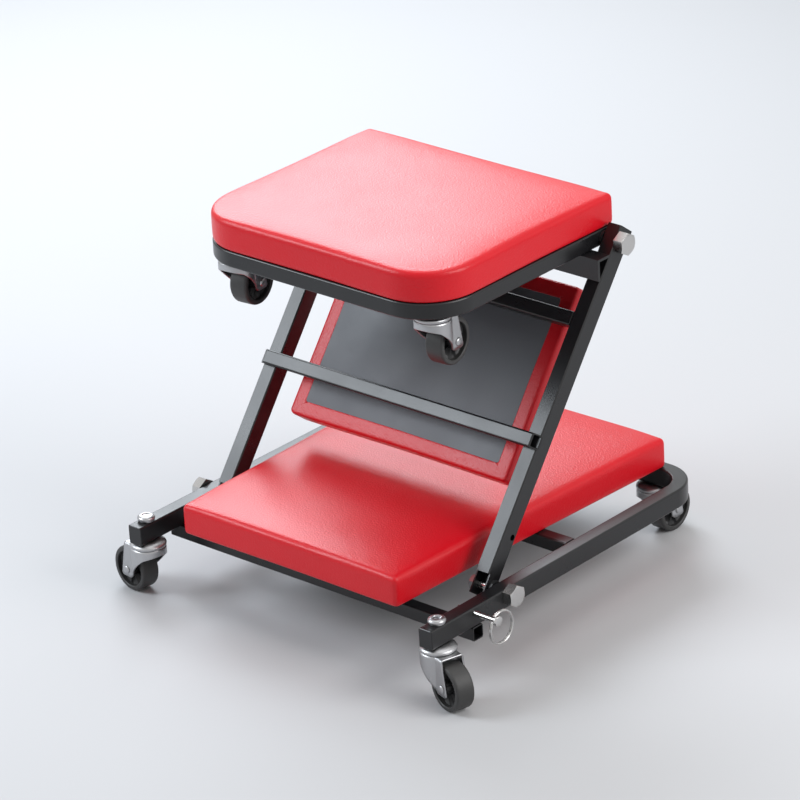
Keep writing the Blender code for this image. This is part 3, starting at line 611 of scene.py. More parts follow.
@dataclass
class Tubes:
    """Bent frames and straight bars of coated rectangular tube."""

    dresser: Dresser
    edge: float = 0.0022
    open_lip: float = 0.0003
    closed_lip: float = 0.0006
    base_corner: float = 0.048
    plate: float = 0.003
    plate_lap: float = 0.005
    plate_leg: float = 0.004
    flat_bar: float = 0.0087
    flat_reach: float = 0.1915
    front_bar: float = 0.0715
    rear_bar: float = 0.245
    lower_bar: float = 0.157
    upper_bar: float = 0.292
    seat_bar: float = 0.075
    corner_steps: int = 28

    def bent(self, half: float, end_y: float, bend_y: float, corner: float, z: float) -> Run:
        """Path of a U in plan: a straight arm, two quarter turns and the other arm.

        Args:
            half: Half the width over the arms.
            end_y: Where the arms end.
            bend_y: Where the outside of the cross piece lies.
            corner: Outer radius of the turns.
            z: Height of the tube's centre.

        Returns:
            Rows of centres, and rows of sideways vectors.
        """
        sign = 1.0 if bend_y > end_y else -1.0
        half, corner, bend_y = half - RAIL_W / 2, corner - RAIL_W / 2, bend_y - sign * RAIL_W / 2
        quarter = np.linspace(0, math.pi / 2, self.corner_steps + 1)
        path = [np.array([[half, end_y, z]])]
        side = [np.array([[1.0, 0.0, 0.0]])]
        for centre_x, first in ((half - corner, 0.0), (corner - half, math.pi / 2)):
            out = raised(unit(quarter + first) * np.array([1.0, sign]), 0.0)
            path.append(np.array([centre_x, bend_y - sign * corner, z]) + out * corner)
            side.append(out)
        path.append(np.array([[-half, end_y, z]]))
        side.append(np.array([[-1.0, 0.0, 0.0]]))
        return np.vstack(path), np.vstack(side)

    def skin(self, run: Run, up: Array, width: float, height: float, lip: float) -> Array:
        """Rings of a tube's outside, drawn in by a lip at both ends, with a smaller rim on each end.

        Args:
            run: Rows of centres, and rows of sideways vectors.
            up: The upward vector.
            width: Outer width.
            height: Outer height.
            lip: Width of the soft edge at the ends.

        Returns:
            Array of rings by points by three.
        """
        path = run[0]
        rings = swept(run, up, rounded_box(width, height, self.edge))
        rim = swept(run, up, rounded_box(width - 2 * lip, height - 2 * lip, self.edge - lip))
        for end, inner in ((0, 1), (-1, -2)):
            rings[end] += normalised(path[inner] - path[end]) * lip
        return np.vstack([rim[:1], rings, rim[-1:]])

    def hollow(self, run: Run, up: Array, width: float, height: float) -> Surface:
        """Open tube: the outside, joined to the bore at both ends.

        Args:
            run: Rows of centres, and rows of sideways vectors.
            up: The upward vector.
            width: Outer width.
            height: Outer height.

        Returns:
            The closed surface.
        """
        bore = swept(run, up, rounded_box(width - 2 * WALL, height - 2 * WALL, self.edge / 2))
        rings = np.vstack([self.skin(run, up, width, height, self.open_lip), bore[::-1]])
        return Surface().grid(rings, wrap_rows=True)

    def straight(self, half: float, centre: Array, along: Array, up: Array, height: float) -> Surface:
        """Open bar across X.

        Args:
            half: Half its length.
            centre: Its middle.
            along: Direction of its width.
            up: Direction of its height.
            height: Its height.

        Returns:
            The closed surface.
        """
        path = np.array([centre, centre])
        path[:, 0] = (-half, half)
        return self.hollow((path, np.array([along, along])), up, BAR, height)

    def flat(self, centre: Array, along: Array, out: Array) -> Surface:
        """Flat tube across X with both ends slanted: an end moves in by as much as a point stands out.

        Args:
            centre: Middle of the bar.
            along: Direction of its wider side.
            out: Direction away from the tubes that carry it.

        Returns:
            The closed surface.
        """
        bar = self.straight(self.flat_reach, centre, along, out, self.flat_bar)
        rows = bar.points[0]
        rows[:, 0] -= np.sign(rows[:, 0]) * ((rows - centre) @ out)
        return bar

    def corner_plate(self, tube: Surface, way: Side) -> None:
        """Adds the flat plate that carries a caster in one bent corner of the seat frame.

        Args:
            tube: The frame's surface.
            way: Which corner.
        """
        edge = SEAT_CORNER - RAIL_W + self.plate_lap
        arc = edge * unit(-np.linspace(0, math.pi / 2, self.corner_steps + 1))
        plan = np.vstack([[(edge, self.plate_leg)], arc, [(-self.plate_leg, -edge)]])
        plan += np.array([SEAT_HALF - SEAT_CORNER, SEAT_CORNER - SEAT_FRONT])
        plan *= np.array([way.value, 1.0])
        tube.capped(np.array([raised(plan, SEAT_BOTTOM + z) for z in (FIT, self.plate)]) + SEAT_AXIS)

    def coat(self, node: str, body: str, tube: Surface) -> None:
        """Makes one tube's coated piece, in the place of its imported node."""
        self.dresser.dress(tube.object(f"{node}_coated", flat=True), POWDER_COAT, body, Tone.BLACK, node)

    def build(self) -> None:
        """Makes the two bent frames and the five bars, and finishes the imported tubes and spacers."""
        level, up = np.array([0.0, 1.0, 0.0]), np.array([0.0, 0.0, 1.0])
        along = np.array([0.0, math.cos(REST), math.sin(REST)])
        out = np.array([0.0, -math.sin(REST), math.cos(REST)])

        rail_z = RAIL_BOTTOM + RAIL_H / 2
        run = self.bent(BASE_HALF, FRONT_Y, FRONT_Y + BASE_LENGTH, self.base_corner, rail_z)
        self.coat("base_frame", "base", Surface().capped(self.skin(run, up, RAIL_W, RAIL_H, self.closed_lip)))
        rear_y, front_y = SEAT_AXIS[1] + SEAT_REAR, SEAT_AXIS[1] - SEAT_FRONT
        run = self.bent(SEAT_HALF, rear_y, front_y, SEAT_CORNER, SEAT_AXIS[2] + SEAT_BOTTOM + SEAT_RAIL_H / 2)
        tube = self.hollow(run, up, RAIL_W, SEAT_RAIL_H)
        for way in Side:
            self.corner_plate(tube, way)
        self.coat("seat_frame", "seat_section", tube)

        front = np.array([0.0, FRONT_Y + self.front_bar, RAIL_BOTTOM - FIT - BAR / 2])
        rear = np.array([0.0, FRONT_Y + self.rear_bar, RAIL_TOP - BAR / 2])
        upper = lean(np.array([0.0, self.upper_bar, TUBE_MID]))
        seat = SEAT_AXIS + np.array([0.0, -self.seat_bar, SEAT_TOP - BAR / 2])
        bars = (
            ("base_crossbar_front", "base", BASE_HALF, front, level, up, BAR),
            ("base_crossbar_rear", "base", BASE_HALF - RAIL_W - FIT, rear, level, up, BAR),
            ("mid_crossbar_upper", "mid_section", MID_INNER - FIT, upper, along, out, RAIL_H),
            ("seat_crossbar", "seat_section", SEAT_INNER - FIT, seat, level, up, BAR),
        )
        for node, body, *shape in bars:
            self.coat(node, body, self.straight(*shape))
        lower = lean(np.array([0.0, self.lower_bar, TUBE_FRONT + FIT + self.flat_bar / 2]))
        self.coat("mid_crossbar_lower", "mid_section", self.flat(lower, along, out))

        for node in ("mid_tube_left", "mid_tube_right", "mid_stop_angle"):
            self.dresser.keep(node, POWDER_COAT)
        for prefix in ("base_hinge", "seat_hinge"):
            for side in Side:
                self.dresser.keep(f"{prefix}_spacer_{side.name.lower()}", HUB)


@dataclass
class Pad:
    """One padded section: a vinyl covered cushion wrapped round a board."""

    name: str
    body: str
    corners: list[tuple[float, float]]
    radii: list[float]
    place: Placer
    height: float = 0.0340
    crown: float = 0.0030
    wrap: float = 0.0165
    fold: float = 0.004
    fold_top: float = 0.0045
    hollow: float = 0.0068
    draw: float = 0.0010
    least_radius: float = 0.003
    swell: float = 0.0016
    ease: float = 0.045
    order: int = 4
    crown_depth: float = 0.001
    pinned_below: float = 0.012
    frames: int = 20

    def outline(self, shrink: float, steps: int = 10, between: int = 40) -> Array:
        """Round-cornered outline, moved inwards, its sides drawn in by draw times a squared sine.

        Args:
            shrink: How far to move in.
            steps: Points on each corner, less one.
            between: Steps along each side.

        Returns:
            Rows of (x, y), counterclockwise.
        """
        corners = np.array(self.corners)
        before = normalised(np.roll(corners, 1, axis=0) - corners)
        after = normalised(np.roll(corners, -1, axis=0) - corners)
        half = np.arccos(np.sum(before * after, axis=1)) / 2
        middle = normalised(before + after)
        corners = corners + middle * (shrink / np.sin(half))[:, None]
        radius = np.maximum(np.array(self.radii) - shrink, self.least_radius)
        centre = corners + middle * (radius / np.sin(half))[:, None]
        reach = (radius / np.tan(half))[:, None]
        first, last = corners + before * reach, corners + after * reach
        share = np.linspace(0, 1, between + 1)[1:-1, None]
        rows = []
        for i in range(len(corners)):
            start, end = (math.atan2(y, x) for x, y in (first[i] - centre[i], last[i] - centre[i]))
            end += math.tau if end < start else 0.0
            arc = centre[i] + radius[i] * unit(np.linspace(start, end, steps + 1))
            side = first[(i + 1) % len(corners)] - arc[-1]
            inward = normalised(np.array([-side[1], side[0]]))
            rows += [arc, arc[-1] + side * share + inward * self.draw * np.sin(math.pi * share) ** 2]
        return np.vstack(rows)

    def form(self) -> Array:
        """Rings of the stuffed form, from the middle of its back over the sides to the crown.

        On the crown, z = height + crown times pillow, eased in from the edge.

        Returns:
            Array of rings by points by three, in the pad's own frame.
        """
        top, onset = self.height, 8.0
        levels = [
            (0.0030, 0.0), (0.0016, 0.0004), (0.0009, 0.0012), (0.0003, 0.0028), (0.0, 0.0045),
            (0.0, 0.0110), (0.0, 0.0170), (0.0, top - 0.0100), (0.0, top - 0.0068),
            (0.0003, top - 0.0046), (0.0010, top - 0.0029), (0.0020, top - 0.0016),
            (0.0035, top - 0.0006), (0.0055, top - 0.0001), (0.0080, top),
        ]
        rings = [raised(self.outline(inset), z) for inset, z in levels]
        back, edge = rings[0][:, :2], rings[-1][:, :2]
        centre = edge.mean(axis=0)
        for share in (0.95, 0.88, 0.80, 0.70, 0.60, 0.50, 0.40, 0.30, 0.20, 0.10):
            plan = centre + (edge - centre) * share
            rise = self.crown * self.pillow(plan) * min(1.0, onset * (1.0 - share))
            rings.append(raised(plan, top + rise))
        shares = (0.2, 0.5, 0.7, 0.8, 0.9, 0.95)
        return np.array([raised(centre + (back - centre) * share, 0.0) for share in shares] + rings)

    def pillow(self, points: Array) -> Array:
        """Share of the crown: the product over the four sides of 1 - exp(-distance / ease).

        Args:
            points: Rows of (x, y).

        Returns:
            A row of shares, nought on the sides.
        """
        corners = np.array(self.corners)
        way = normalised(np.roll(corners, -1, axis=0) - corners)
        apart = points[:, None, :] - corners[None]
        far = way[:, 0] * apart[..., 1] - way[:, 1] * apart[..., 0]
        return np.prod(1.0 - np.exp(-np.maximum(far, 0.0) / self.ease), axis=1)

    def evened(self, points: Array, rise: Array) -> Array:
        """Evens the cloth's rise: the sum of Legendre products in x and y closest to it on the crown.

        Args:
            points: The form's points before the cloth moved them.
            rise: How far the cloth carried each one up.

        Returns:
            The evened rise at every point, never below nought.
        """
        flat = points[:, :2]
        low, high = flat.min(axis=0), flat.max(axis=0)
        u, v = ((2.0 * flat - low - high) / (high - low)).T
        terms = np.polynomial.legendre.legvander2d(u, v, [self.order, self.order])
        weight = np.where(points[:, 2] > self.height - self.crown_depth, np.hypot(u, v), 0.0)
        shares = np.linalg.lstsq(terms * weight[:, None], rise * weight, rcond=None)[0]
        return np.maximum(terms @ shares, 0.0)

    def inside(self, points: Array, shrink: float) -> Array:
        """Tells which points lie inside the outline moved in, by counting crossings of its edges.

        Args:
            points: Rows of (x, y).
            shrink: How far the outline is moved in.

        Returns:
            A row of true and false.
        """
        edge = self.outline(shrink, steps=4, between=2)
        step = np.roll(edge, -1, axis=0) - edge
        x, y = points[:, :1], points[:, 1:2]
        spans = (edge[:, 1] > y) != (edge[:, 1] + step[:, 1] > y)
        slope = step[:, 0] / np.where(step[:, 1] == 0, 1e-12, step[:, 1])
        return (spans & (x < edge[:, 0] + slope * (y - edge[:, 1]))).sum(axis=1) % 2 == 1

    def stuffed(self) -> Item:
        """Makes the cushion: the form swollen as cloth under pressure, its crown free and its back pinned.

        Each point then moves out along its normal by swell times tanh(rise / swell) times the normal's
        upward share, where rise is how far the cloth carried the crown there, evened.

        Returns:
            The cushion in the pad's own frame, crown towards +Z.
        """
        item = Surface().capped(self.form()).object(f"{self.name}_cushion_vinyl", 180.0)
        rest, normal = read(item.data), read(item.data, "normal")
        pinned = item.vertex_groups.new(name="pinned")
        pinned.add(np.flatnonzero(rest[:, 2] < self.pinned_below).tolist(), 1.0, "REPLACE")
        cloth = item.modifiers.new("Swell", "CLOTH")
        settings = cloth.settings
        settings.quality = 5
        settings.use_pressure = True
        settings.uniform_pressure_force = 2.0
        settings.effector_weights.gravity = 0.0
        settings.vertex_group_mass = "pinned"
        settings.tension_stiffness = settings.compression_stiffness = 60.0
        settings.bending_stiffness = 12.0
        scene = bpy.context.scene
        for frame in range(1, self.frames + 1):
            scene.frame_set(frame)
        swollen = read(item.evaluated_get(bpy.context.evaluated_depsgraph_get()).data)
        scene.frame_set(1)
        item.modifiers.remove(cloth)
        rise = np.maximum(np.sum((swollen - rest) * normal, axis=1), 0.0)
        LOG.info("%s cushion rose by up to %.2f mm", self.name, 1000.0 * rise.max())
        out = self.swell * np.tanh(self.evened(rest, rise) / self.swell) * np.clip(normal[:, 2], 0.0, 1.0)
        write(item.data, rest + normal * out[:, None])
        apply_modifier(item, "SUBSURF", levels=1, render_levels=1)
        return item

    def build(self, make: Dresser) -> None:
        """Makes the cushion and its board, and puts both in place.

        Args:
            make: Gives the pieces their finish and body.
        """
        cushion = self.stuffed()
        points = read(cushion.data)
        deep = (points[:, 2] < self.fold_top) & self.inside(points[:, :2], self.wrap + self.fold)
        points[deep, 2] = self.hollow
        write(cushion.data, self.place(points))
        turn_out(cushion.data)
        cushion.data.shade_smooth()
        make.dress(cushion, VINYL, self.body, Tone.VINYL, f"{self.name}_cushion")
        proud, thick, soft = 0.0002, 0.0060, 0.0005
        levels = [(soft, -proud), (0.0, soft - proud), (0.0, thick - soft), (soft, thick)]
        rings = [raised(self.outline(self.wrap + FIT + inset, steps=6, between=2), z) for inset, z in levels]
        board = Surface().capped(self.place(np.array(rings))).object(f"{self.name}_board_painted", flat=True)
        make.dress(board, BOARD, self.body, Tone.BOARD, f"{self.name}_board")


@dataclass
class Caster:
    """One swivel caster: stem, cup, folded fork, tyre, hub and axle rivet."""

    tag: str
    owner: str
    stem: Array
    heading: float
    headed: bool
    cup: float = 0.040
    cup_h: float = 0.0065
    fork_w: float = 0.0275
    plate: float = 0.0020
    bend: float = 0.0030
    nose_drop: float = 0.0075
    nose_share: float = 0.4
    tail: float = 0.0015
    steps: int = 40
    tread: float = 0.0055
    ribs: int = 9

    def world(self, points: Array) -> Array:
        """Turns points of the caster's own frame, tail along +X, to its heading and place.

        Args:
            points: Rows in the caster's own frame.

        Returns:
            Rows of world points.
        """
        c, s = math.cos(self.heading), math.sin(self.heading)
        x = points[..., 0] * c - points[..., 1] * s
        y = points[..., 0] * s + points[..., 1] * c
        return np.stack([x, y, points[..., 2]], axis=-1) + self.stem

    @property
    def axle(self) -> Array:
        """Middle of the axle in the caster's own frame."""
        return np.array([TRAIL, 0.0, WHEEL / 2 - CASTER_H])

    def on_axle(self, points: Array) -> Array:
        """Places rows of (radial, radial, across) on the axle."""
        return self.world(points[..., [0, 2, 1]] + self.axle)

    def fork(self) -> Surface:
        """Folded fork: at each step from nose to tail a cheek, a bend, the plate, a bend and a cheek.

        Returns:
            The outer skin, to be thickened inwards.
        """
        top = -self.cup_h - 2 * FIT
        fold = top - self.bend
        nose, half = self.cup / 2 - FIT, self.fork_w / 2
        meet = math.sqrt(nose ** 2 - half ** 2)

        def wide(t: Array) -> Array:
            """Half width in plan: a circle at the nose, then straight cheeks."""
            return np.where(t < meet, np.sqrt(np.maximum(nose ** 2 - np.minimum(t, meet) ** 2, 0.0)), half)

        share = np.linspace(0, 1, self.steps + 1)
        t_nose = -nose * np.cos(np.pi / 2 * np.minimum(share / self.nose_share, 1.0))
        past = np.maximum((share - self.nose_share) / (1.0 - self.nose_share), 0.0)
        t_top = t_nose + (TRAIL + self.tail) * past
        edge = np.array([
            (-0.0340, 0.0215), (-0.0240, 0.0125), (-0.0152, 0.0030), (-0.0100, -0.0045), (-0.0085, -0.0066),
            (-0.0065, -0.0078), (0.0055, -0.0078), (0.0075, -0.0070), (0.0085, -0.0050),
        ])
        low = np.vstack([[(-nose, top - self.nose_drop)], edge + self.axle[[0, 2]]])
        run = np.concatenate([[0], np.cumsum(np.linalg.norm(np.diff(low, axis=0), axis=1))])
        t_low, z_low = (np.interp(share, run / run[-1], column) for column in low.T)
        down = np.linspace(1, 0, 9)[:, None]
        t_side = t_low * down + t_top * (1 - down)
        z_side = z_low * down + fold * (1 - down)
        turn = np.linspace(0, math.pi / 2, 6)[1:, None]
        curve = np.minimum(self.bend, 0.8 * wide(t_top))
        w_bend = wide(t_top) - curve + curve * np.cos(turn)
        cheek = np.stack([t_side, wide(t_side), z_side], axis=-1)
        bent = np.stack(np.broadcast_arrays(t_top, w_bend, fold + self.bend * np.sin(turn)), axis=-1)
        right = np.concatenate([cheek, bent])
        left = right[::-1] * np.array([1.0, -1.0, 1.0])
        return Surface().grid(self.world(np.concatenate([right, left])), wrap_columns=False)

    def tyre(self) -> Surface:
        """Wheel ring: flat tread with rounded shoulders, straight walls and a plain bore.

        Returns:
            The closed surface.
        """
        radius, half = WHEEL / 2, WHEEL_W / 2
        inner = radius - self.tread
        turn = np.linspace(0, math.pi / 2, 7)
        rise, fall = 0.0022, 0.0030
        shoulder = np.stack([radius - rise + rise * np.sin(turn), half - fall + fall * np.cos(turn)], axis=1)
        side = np.vstack([[(inner, half - 0.0050), (inner, half - 0.0006), (inner + 0.0006, half)], shoulder])
        mirror = side[::-1] * np.array([1.0, -1.0])
        return turned(np.vstack([side, mirror]), self.on_axle, 72, closed=True)

    def hub(self) -> Surface:
        """Hub: a dished web with raised ribs, w = web + rib times a peak at each of nine angles.

        Returns:
            The closed surface.
        """
        inner = WHEEL / 2 - self.tread
        turn = around(108)
        radius = np.array([0.0034, 0.0066, 0.0070, 0.0085, 0.0120, 0.0160, inner - 0.0012, inner])[:, None]
        face = np.array([0.0113, 0.0113, 0.0108, 0.0040, 0.0035, 0.0036, 0.0052, 0.0058])[:, None]
        on_web = np.array([0, 0, 0, 1, 1, 1, 0.4, 0])[:, None]
        apart = np.abs(((turn * self.ribs / math.tau) % 1.0) - 0.5) - 0.5
        rib_h, rib_w = 0.0032, 0.09
        rib = rib_h * np.exp(-(apart / rib_w) ** 2)
        right = polar(radius, turn, face + on_web * rib)
        left = right[::-1] * np.array([1.0, 1.0, -1.0])
        return Surface().grid(self.on_axle(np.concatenate([right, left])), wrap_rows=True)

    def rivet(self) -> Surface:
        """Axle rivet: shank and a domed head on each side.

        Returns:
            The closed surface.
        """
        half, dome_h, head, shank = self.fork_w / 2 + FIT, 0.0018, 0.0046, 0.0030
        turn = np.linspace(0, math.pi / 2, 7)
        dome = np.stack([head * np.cos(turn), half + dome_h * np.sin(turn)], axis=1)
        side = np.vstack([[(shank, half)], dome[:-1], [(0.0003, half + dome_h)]])
        return turned(np.vstack([side[::-1], side * np.array([1.0, -1.0])]), self.on_axle, 32)

    def dish(self) -> Surface:
        """Swivel cup: a low dish with a rolled rim over a narrow lower lip.

        Returns:
            The closed surface.
        """
        rim, bore, low = self.cup / 2, 0.0043, -self.cup_h - FIT
        profile = np.array([
            (bore, low), (rim - 0.0012, low), (rim - 0.0004, low + 0.0004), (rim, low + 0.0012),
            (rim, low + 0.0024), (rim - 0.0005, low + 0.0034), (rim - 0.0016, low + 0.0044),
            (rim - 0.0036, low + 0.0054), (rim - 0.0060, -FIT - 0.0002), (rim - 0.0075, -FIT), (bore, -FIT),
        ])
        return turned(profile, self.world, 64, closed=True)

    def stud(self) -> Surface:
        """Stem: flange below, shank, and above the rail a collar and a domed head with a socket.

        Returns:
            The closed surface.
        """
        under = -self.cup_h - 3 * FIT - self.plate
        rows = [(0.0062, under - 0.0025), (0.0070, under - 0.0017), (0.0070, under), (0.0040, under)]
        if self.headed:
            seat = RAIL_H + FIT
            head = [
                (0.0040, 0.0), (0.0084, 0.0), (0.0086, 0.0004), (0.0086, 0.0016), (0.0095, 0.0020),
                (0.00975, 0.0026), (0.00975, 0.0036), (0.0092, 0.0048), (0.0080, 0.0058), (0.0064, 0.0064),
                (0.0052, 0.0065), (0.0048, 0.0063), (0.0044, 0.0054), (0.0034, 0.0050), (0.0016, 0.0050),
            ]
            rows += [(radius, seat + z) for radius, z in head]
        else:
            rows += [(0.0040, 0.0100), (0.0032, 0.0110)]
        return turned(np.array(rows), self.world)

    def build(self, make: Dresser) -> None:
        """Makes the caster's pieces and finishes them.

        Args:
            make: Gives the pieces their finish and body.
        """
        fork_body, wheel_body = f"{self.tag}_fork", f"{self.tag}_wheel"
        fork = self.fork().object(f"{self.tag}_fork_plated", 40.0)
        sheet = fork.modifiers.new("Sheet", "SOLIDIFY")
        sheet.thickness, sheet.offset, sheet.use_even_offset = self.plate, -1.0, True
        make.dress(fork, ZINC, fork_body, Tone.ZINC, fork_body)
        rivet, tyre = self.rivet().object(f"{self.tag}_axle_plated"), self.tyre().object(f"{self.tag}_tyre")
        make.dress(rivet, ZINC, fork_body, Tone.ZINC, f"{self.tag}_axle")
        make.dress(tyre, TYRE, wheel_body, Tone.WHEEL, wheel_body)
        make.dress(self.hub().object(f"{self.tag}_hub", 30.0), HUB, wheel_body, Tone.WHEEL)
        for surface, part in ((self.dish(), "cup"), (self.stud(), "stem")):
            item = surface.object(f"{self.tag}_{part}_plated")
            make.dress(item, ZINC, self.owner, Tone.ZINC, f"{self.tag}_{part}")


@dataclass
class Hinge:
    """Bolts and nuts of one hinge, both sides."""

    prefix: str
    body: str
    axis: Array
    outer: float
    inner: float
    flats: float = 0.022
    head: float = 0.0115
    top: float = 0.004
    nut_flats: float = 0.015
    nut: float = 0.008
    shank: float = 0.0045
    point: float = 0.0008
    past_nut: float = 0.002
    count: int = 72
    crease: float = 28.0

    def place(self, side: Side, x: float, points: Array) -> Array:
        """Places rows of (radial, radial, outward) on the hinge's axis, from x outwards on one side."""
        out = np.stack([side.value * (x + points[..., 2]), points[..., 0], points[..., 1]], axis=-1)
        return out + self.axis

    def chamfered(self, flats: float, height: float, inner: float) -> Array:
        """Rows of a hex head, a corner up, from its seat to its top, the corners turned off by a cone.

        The radius is half the flats over the cosine of the angle to the nearest flat's middle.

        Args:
            flats: Size across the flats.
            height: Height of the head.
            inner: Radius where the rows end on top.

        Returns:
            Array of rows by angles by (radial, radial, up).
        """
        turn, cone, steep = around(self.count), 0.49 * flats, 0.55
        edge = flats / 2 / np.cos(((turn + math.pi / 6) % (math.pi / 3)) - math.pi / 6)
        rows = [polar(edge, turn, 0.0)]
        for radius in (edge, 0.97 * edge, 0.9 * edge, 0.75 * edge):
            rows.append(polar(radius, turn, height - np.maximum(radius - cone, 0.0) * steep))
        return np.array(rows + [polar(inner, turn, height)])

    def build(self, make: Dresser) -> None:
        """Makes the bolts and nuts and finishes them.

        Args:
            make: Gives the pieces their finish and body.
        """
        low = self.inner - self.outer - self.nut - 2 * FIT - self.past_nut
        turn, bore = around(self.count), self.shank + FIT
        ends = ((self.shank - self.point, low), (self.shank, low + self.point), (self.shank, 0.0))
        shank = [polar(radius, turn, z) for radius, z in ends]
        head = np.concatenate([shank, self.chamfered(self.flats, self.head, self.top)])
        nut = self.chamfered(self.nut_flats, self.nut, bore) * np.array([1.0, 1.0, -1.0])
        nut = np.concatenate([nut, polar(bore, turn, 0.0)[None]])
        for side in Side:
            tag = side.name.lower()
            bolt = Surface().capped(self.place(side, self.outer + FIT, head))
            item = bolt.object(f"{self.prefix}_bolt_{tag}_plated", self.crease)
            make.dress(item, BRIGHT, self.body, Tone.ZINC, f"{self.prefix}_bolt_{tag}")
            ring = Surface().grid(self.place(side, self.inner - FIT, nut), wrap_rows=True)
            item = ring.object(f"{self.prefix}_nut_{tag}_plated", self.crease)
            make.dress(item, ZINC, self.body, Tone.ZINC, f"{self.prefix}_nut_{tag}")


@dataclass
class Lock:
    """Pull pin through the right rail and its split ring."""

    at: Array
    out: float = 0.034
    shaft: float = 0.0032
    point: float = 0.001
    tip_gap: float = 0.0006
    head: float = 0.00575
    head_h: float = 0.004
    ring_back: float = 0.0042
    ring: float = 0.01775
    wire: float = 0.0013
    pitch: float = 2.1
    wire_steps: int = 192
    hang: float = math.radians(-48.0)

    def along(self, points: Array) -> Array:
        """Places rows of (radial, radial, outward) on the pin's axis."""
        return points[..., [2, 0, 1]] + self.at

    def build(self, make: Dresser) -> None:
        """Makes the pin and the ring, a wire wound twice round: x climbs with the angle.

        Args:
            make: Gives the pieces their finish and body.
        """
        tip, out, under = MID_HALF - BASE_HALF + self.tip_gap, self.out, self.out - self.head_h
        profile = np.array([
            (0.0002, out), (self.head - 0.0012, out), (self.head - 0.0004, out - 0.0003),
            (self.head, out - 0.0010), (self.head, under + 0.0004), (self.head - 0.0005, under),
            (self.shaft, under), (self.shaft, tip + self.point), (self.shaft - self.point, tip),
        ])
        pin = turned(profile, self.along).object("lock_pin_plated")
        make.dress(pin, BRIGHT, "lock_pin", Tone.ZINC, "lock_pin")
        turn = np.linspace(0, 2 * math.tau, self.wire_steps + 1)
        x_way = np.array([1.0, 0.0, 0.0])
        hang = np.array([0.0, math.cos(self.hang), math.sin(self.hang)])
        across = np.array([0.0, -hang[2], hang[1]])
        way = -np.cos(turn)[:, None] * hang + np.sin(turn)[:, None] * across
        climb = (turn / (2 * math.tau) - 0.5) * self.pitch * self.wire
        centre = self.at + (under - self.ring_back + climb)[:, None] * x_way + (hang + way) * self.ring
        wire = rounded_box(2 * self.wire, 2 * self.wire, 0.99 * self.wire, 3)
        ring = Surface().capped(swept((centre, way), x_way, wire)).object("pull_ring_plated")
        make.dress(ring, BRIGHT, "pull_ring", Tone.ZINC, "pull_ring")


def toward(azimuth: float, elevation: float) -> Array:
    """Unit vector from the object to a place given in degrees, azimuth nought in front."""
    a, e = math.radians(azimuth), math.radians(elevation)
    return np.array([math.sin(a) * math.cos(e), -math.cos(a) * math.cos(e), math.sin(e)])


def look(back: Array) -> Array:
    """Turn that points -Z along minus back, with X level: columns of right, up and back."""
    right = normalised(np.cross(np.array([0.0, 0.0, 1.0]), back))
    return np.stack([right, np.cross(back, right), back], axis=1)


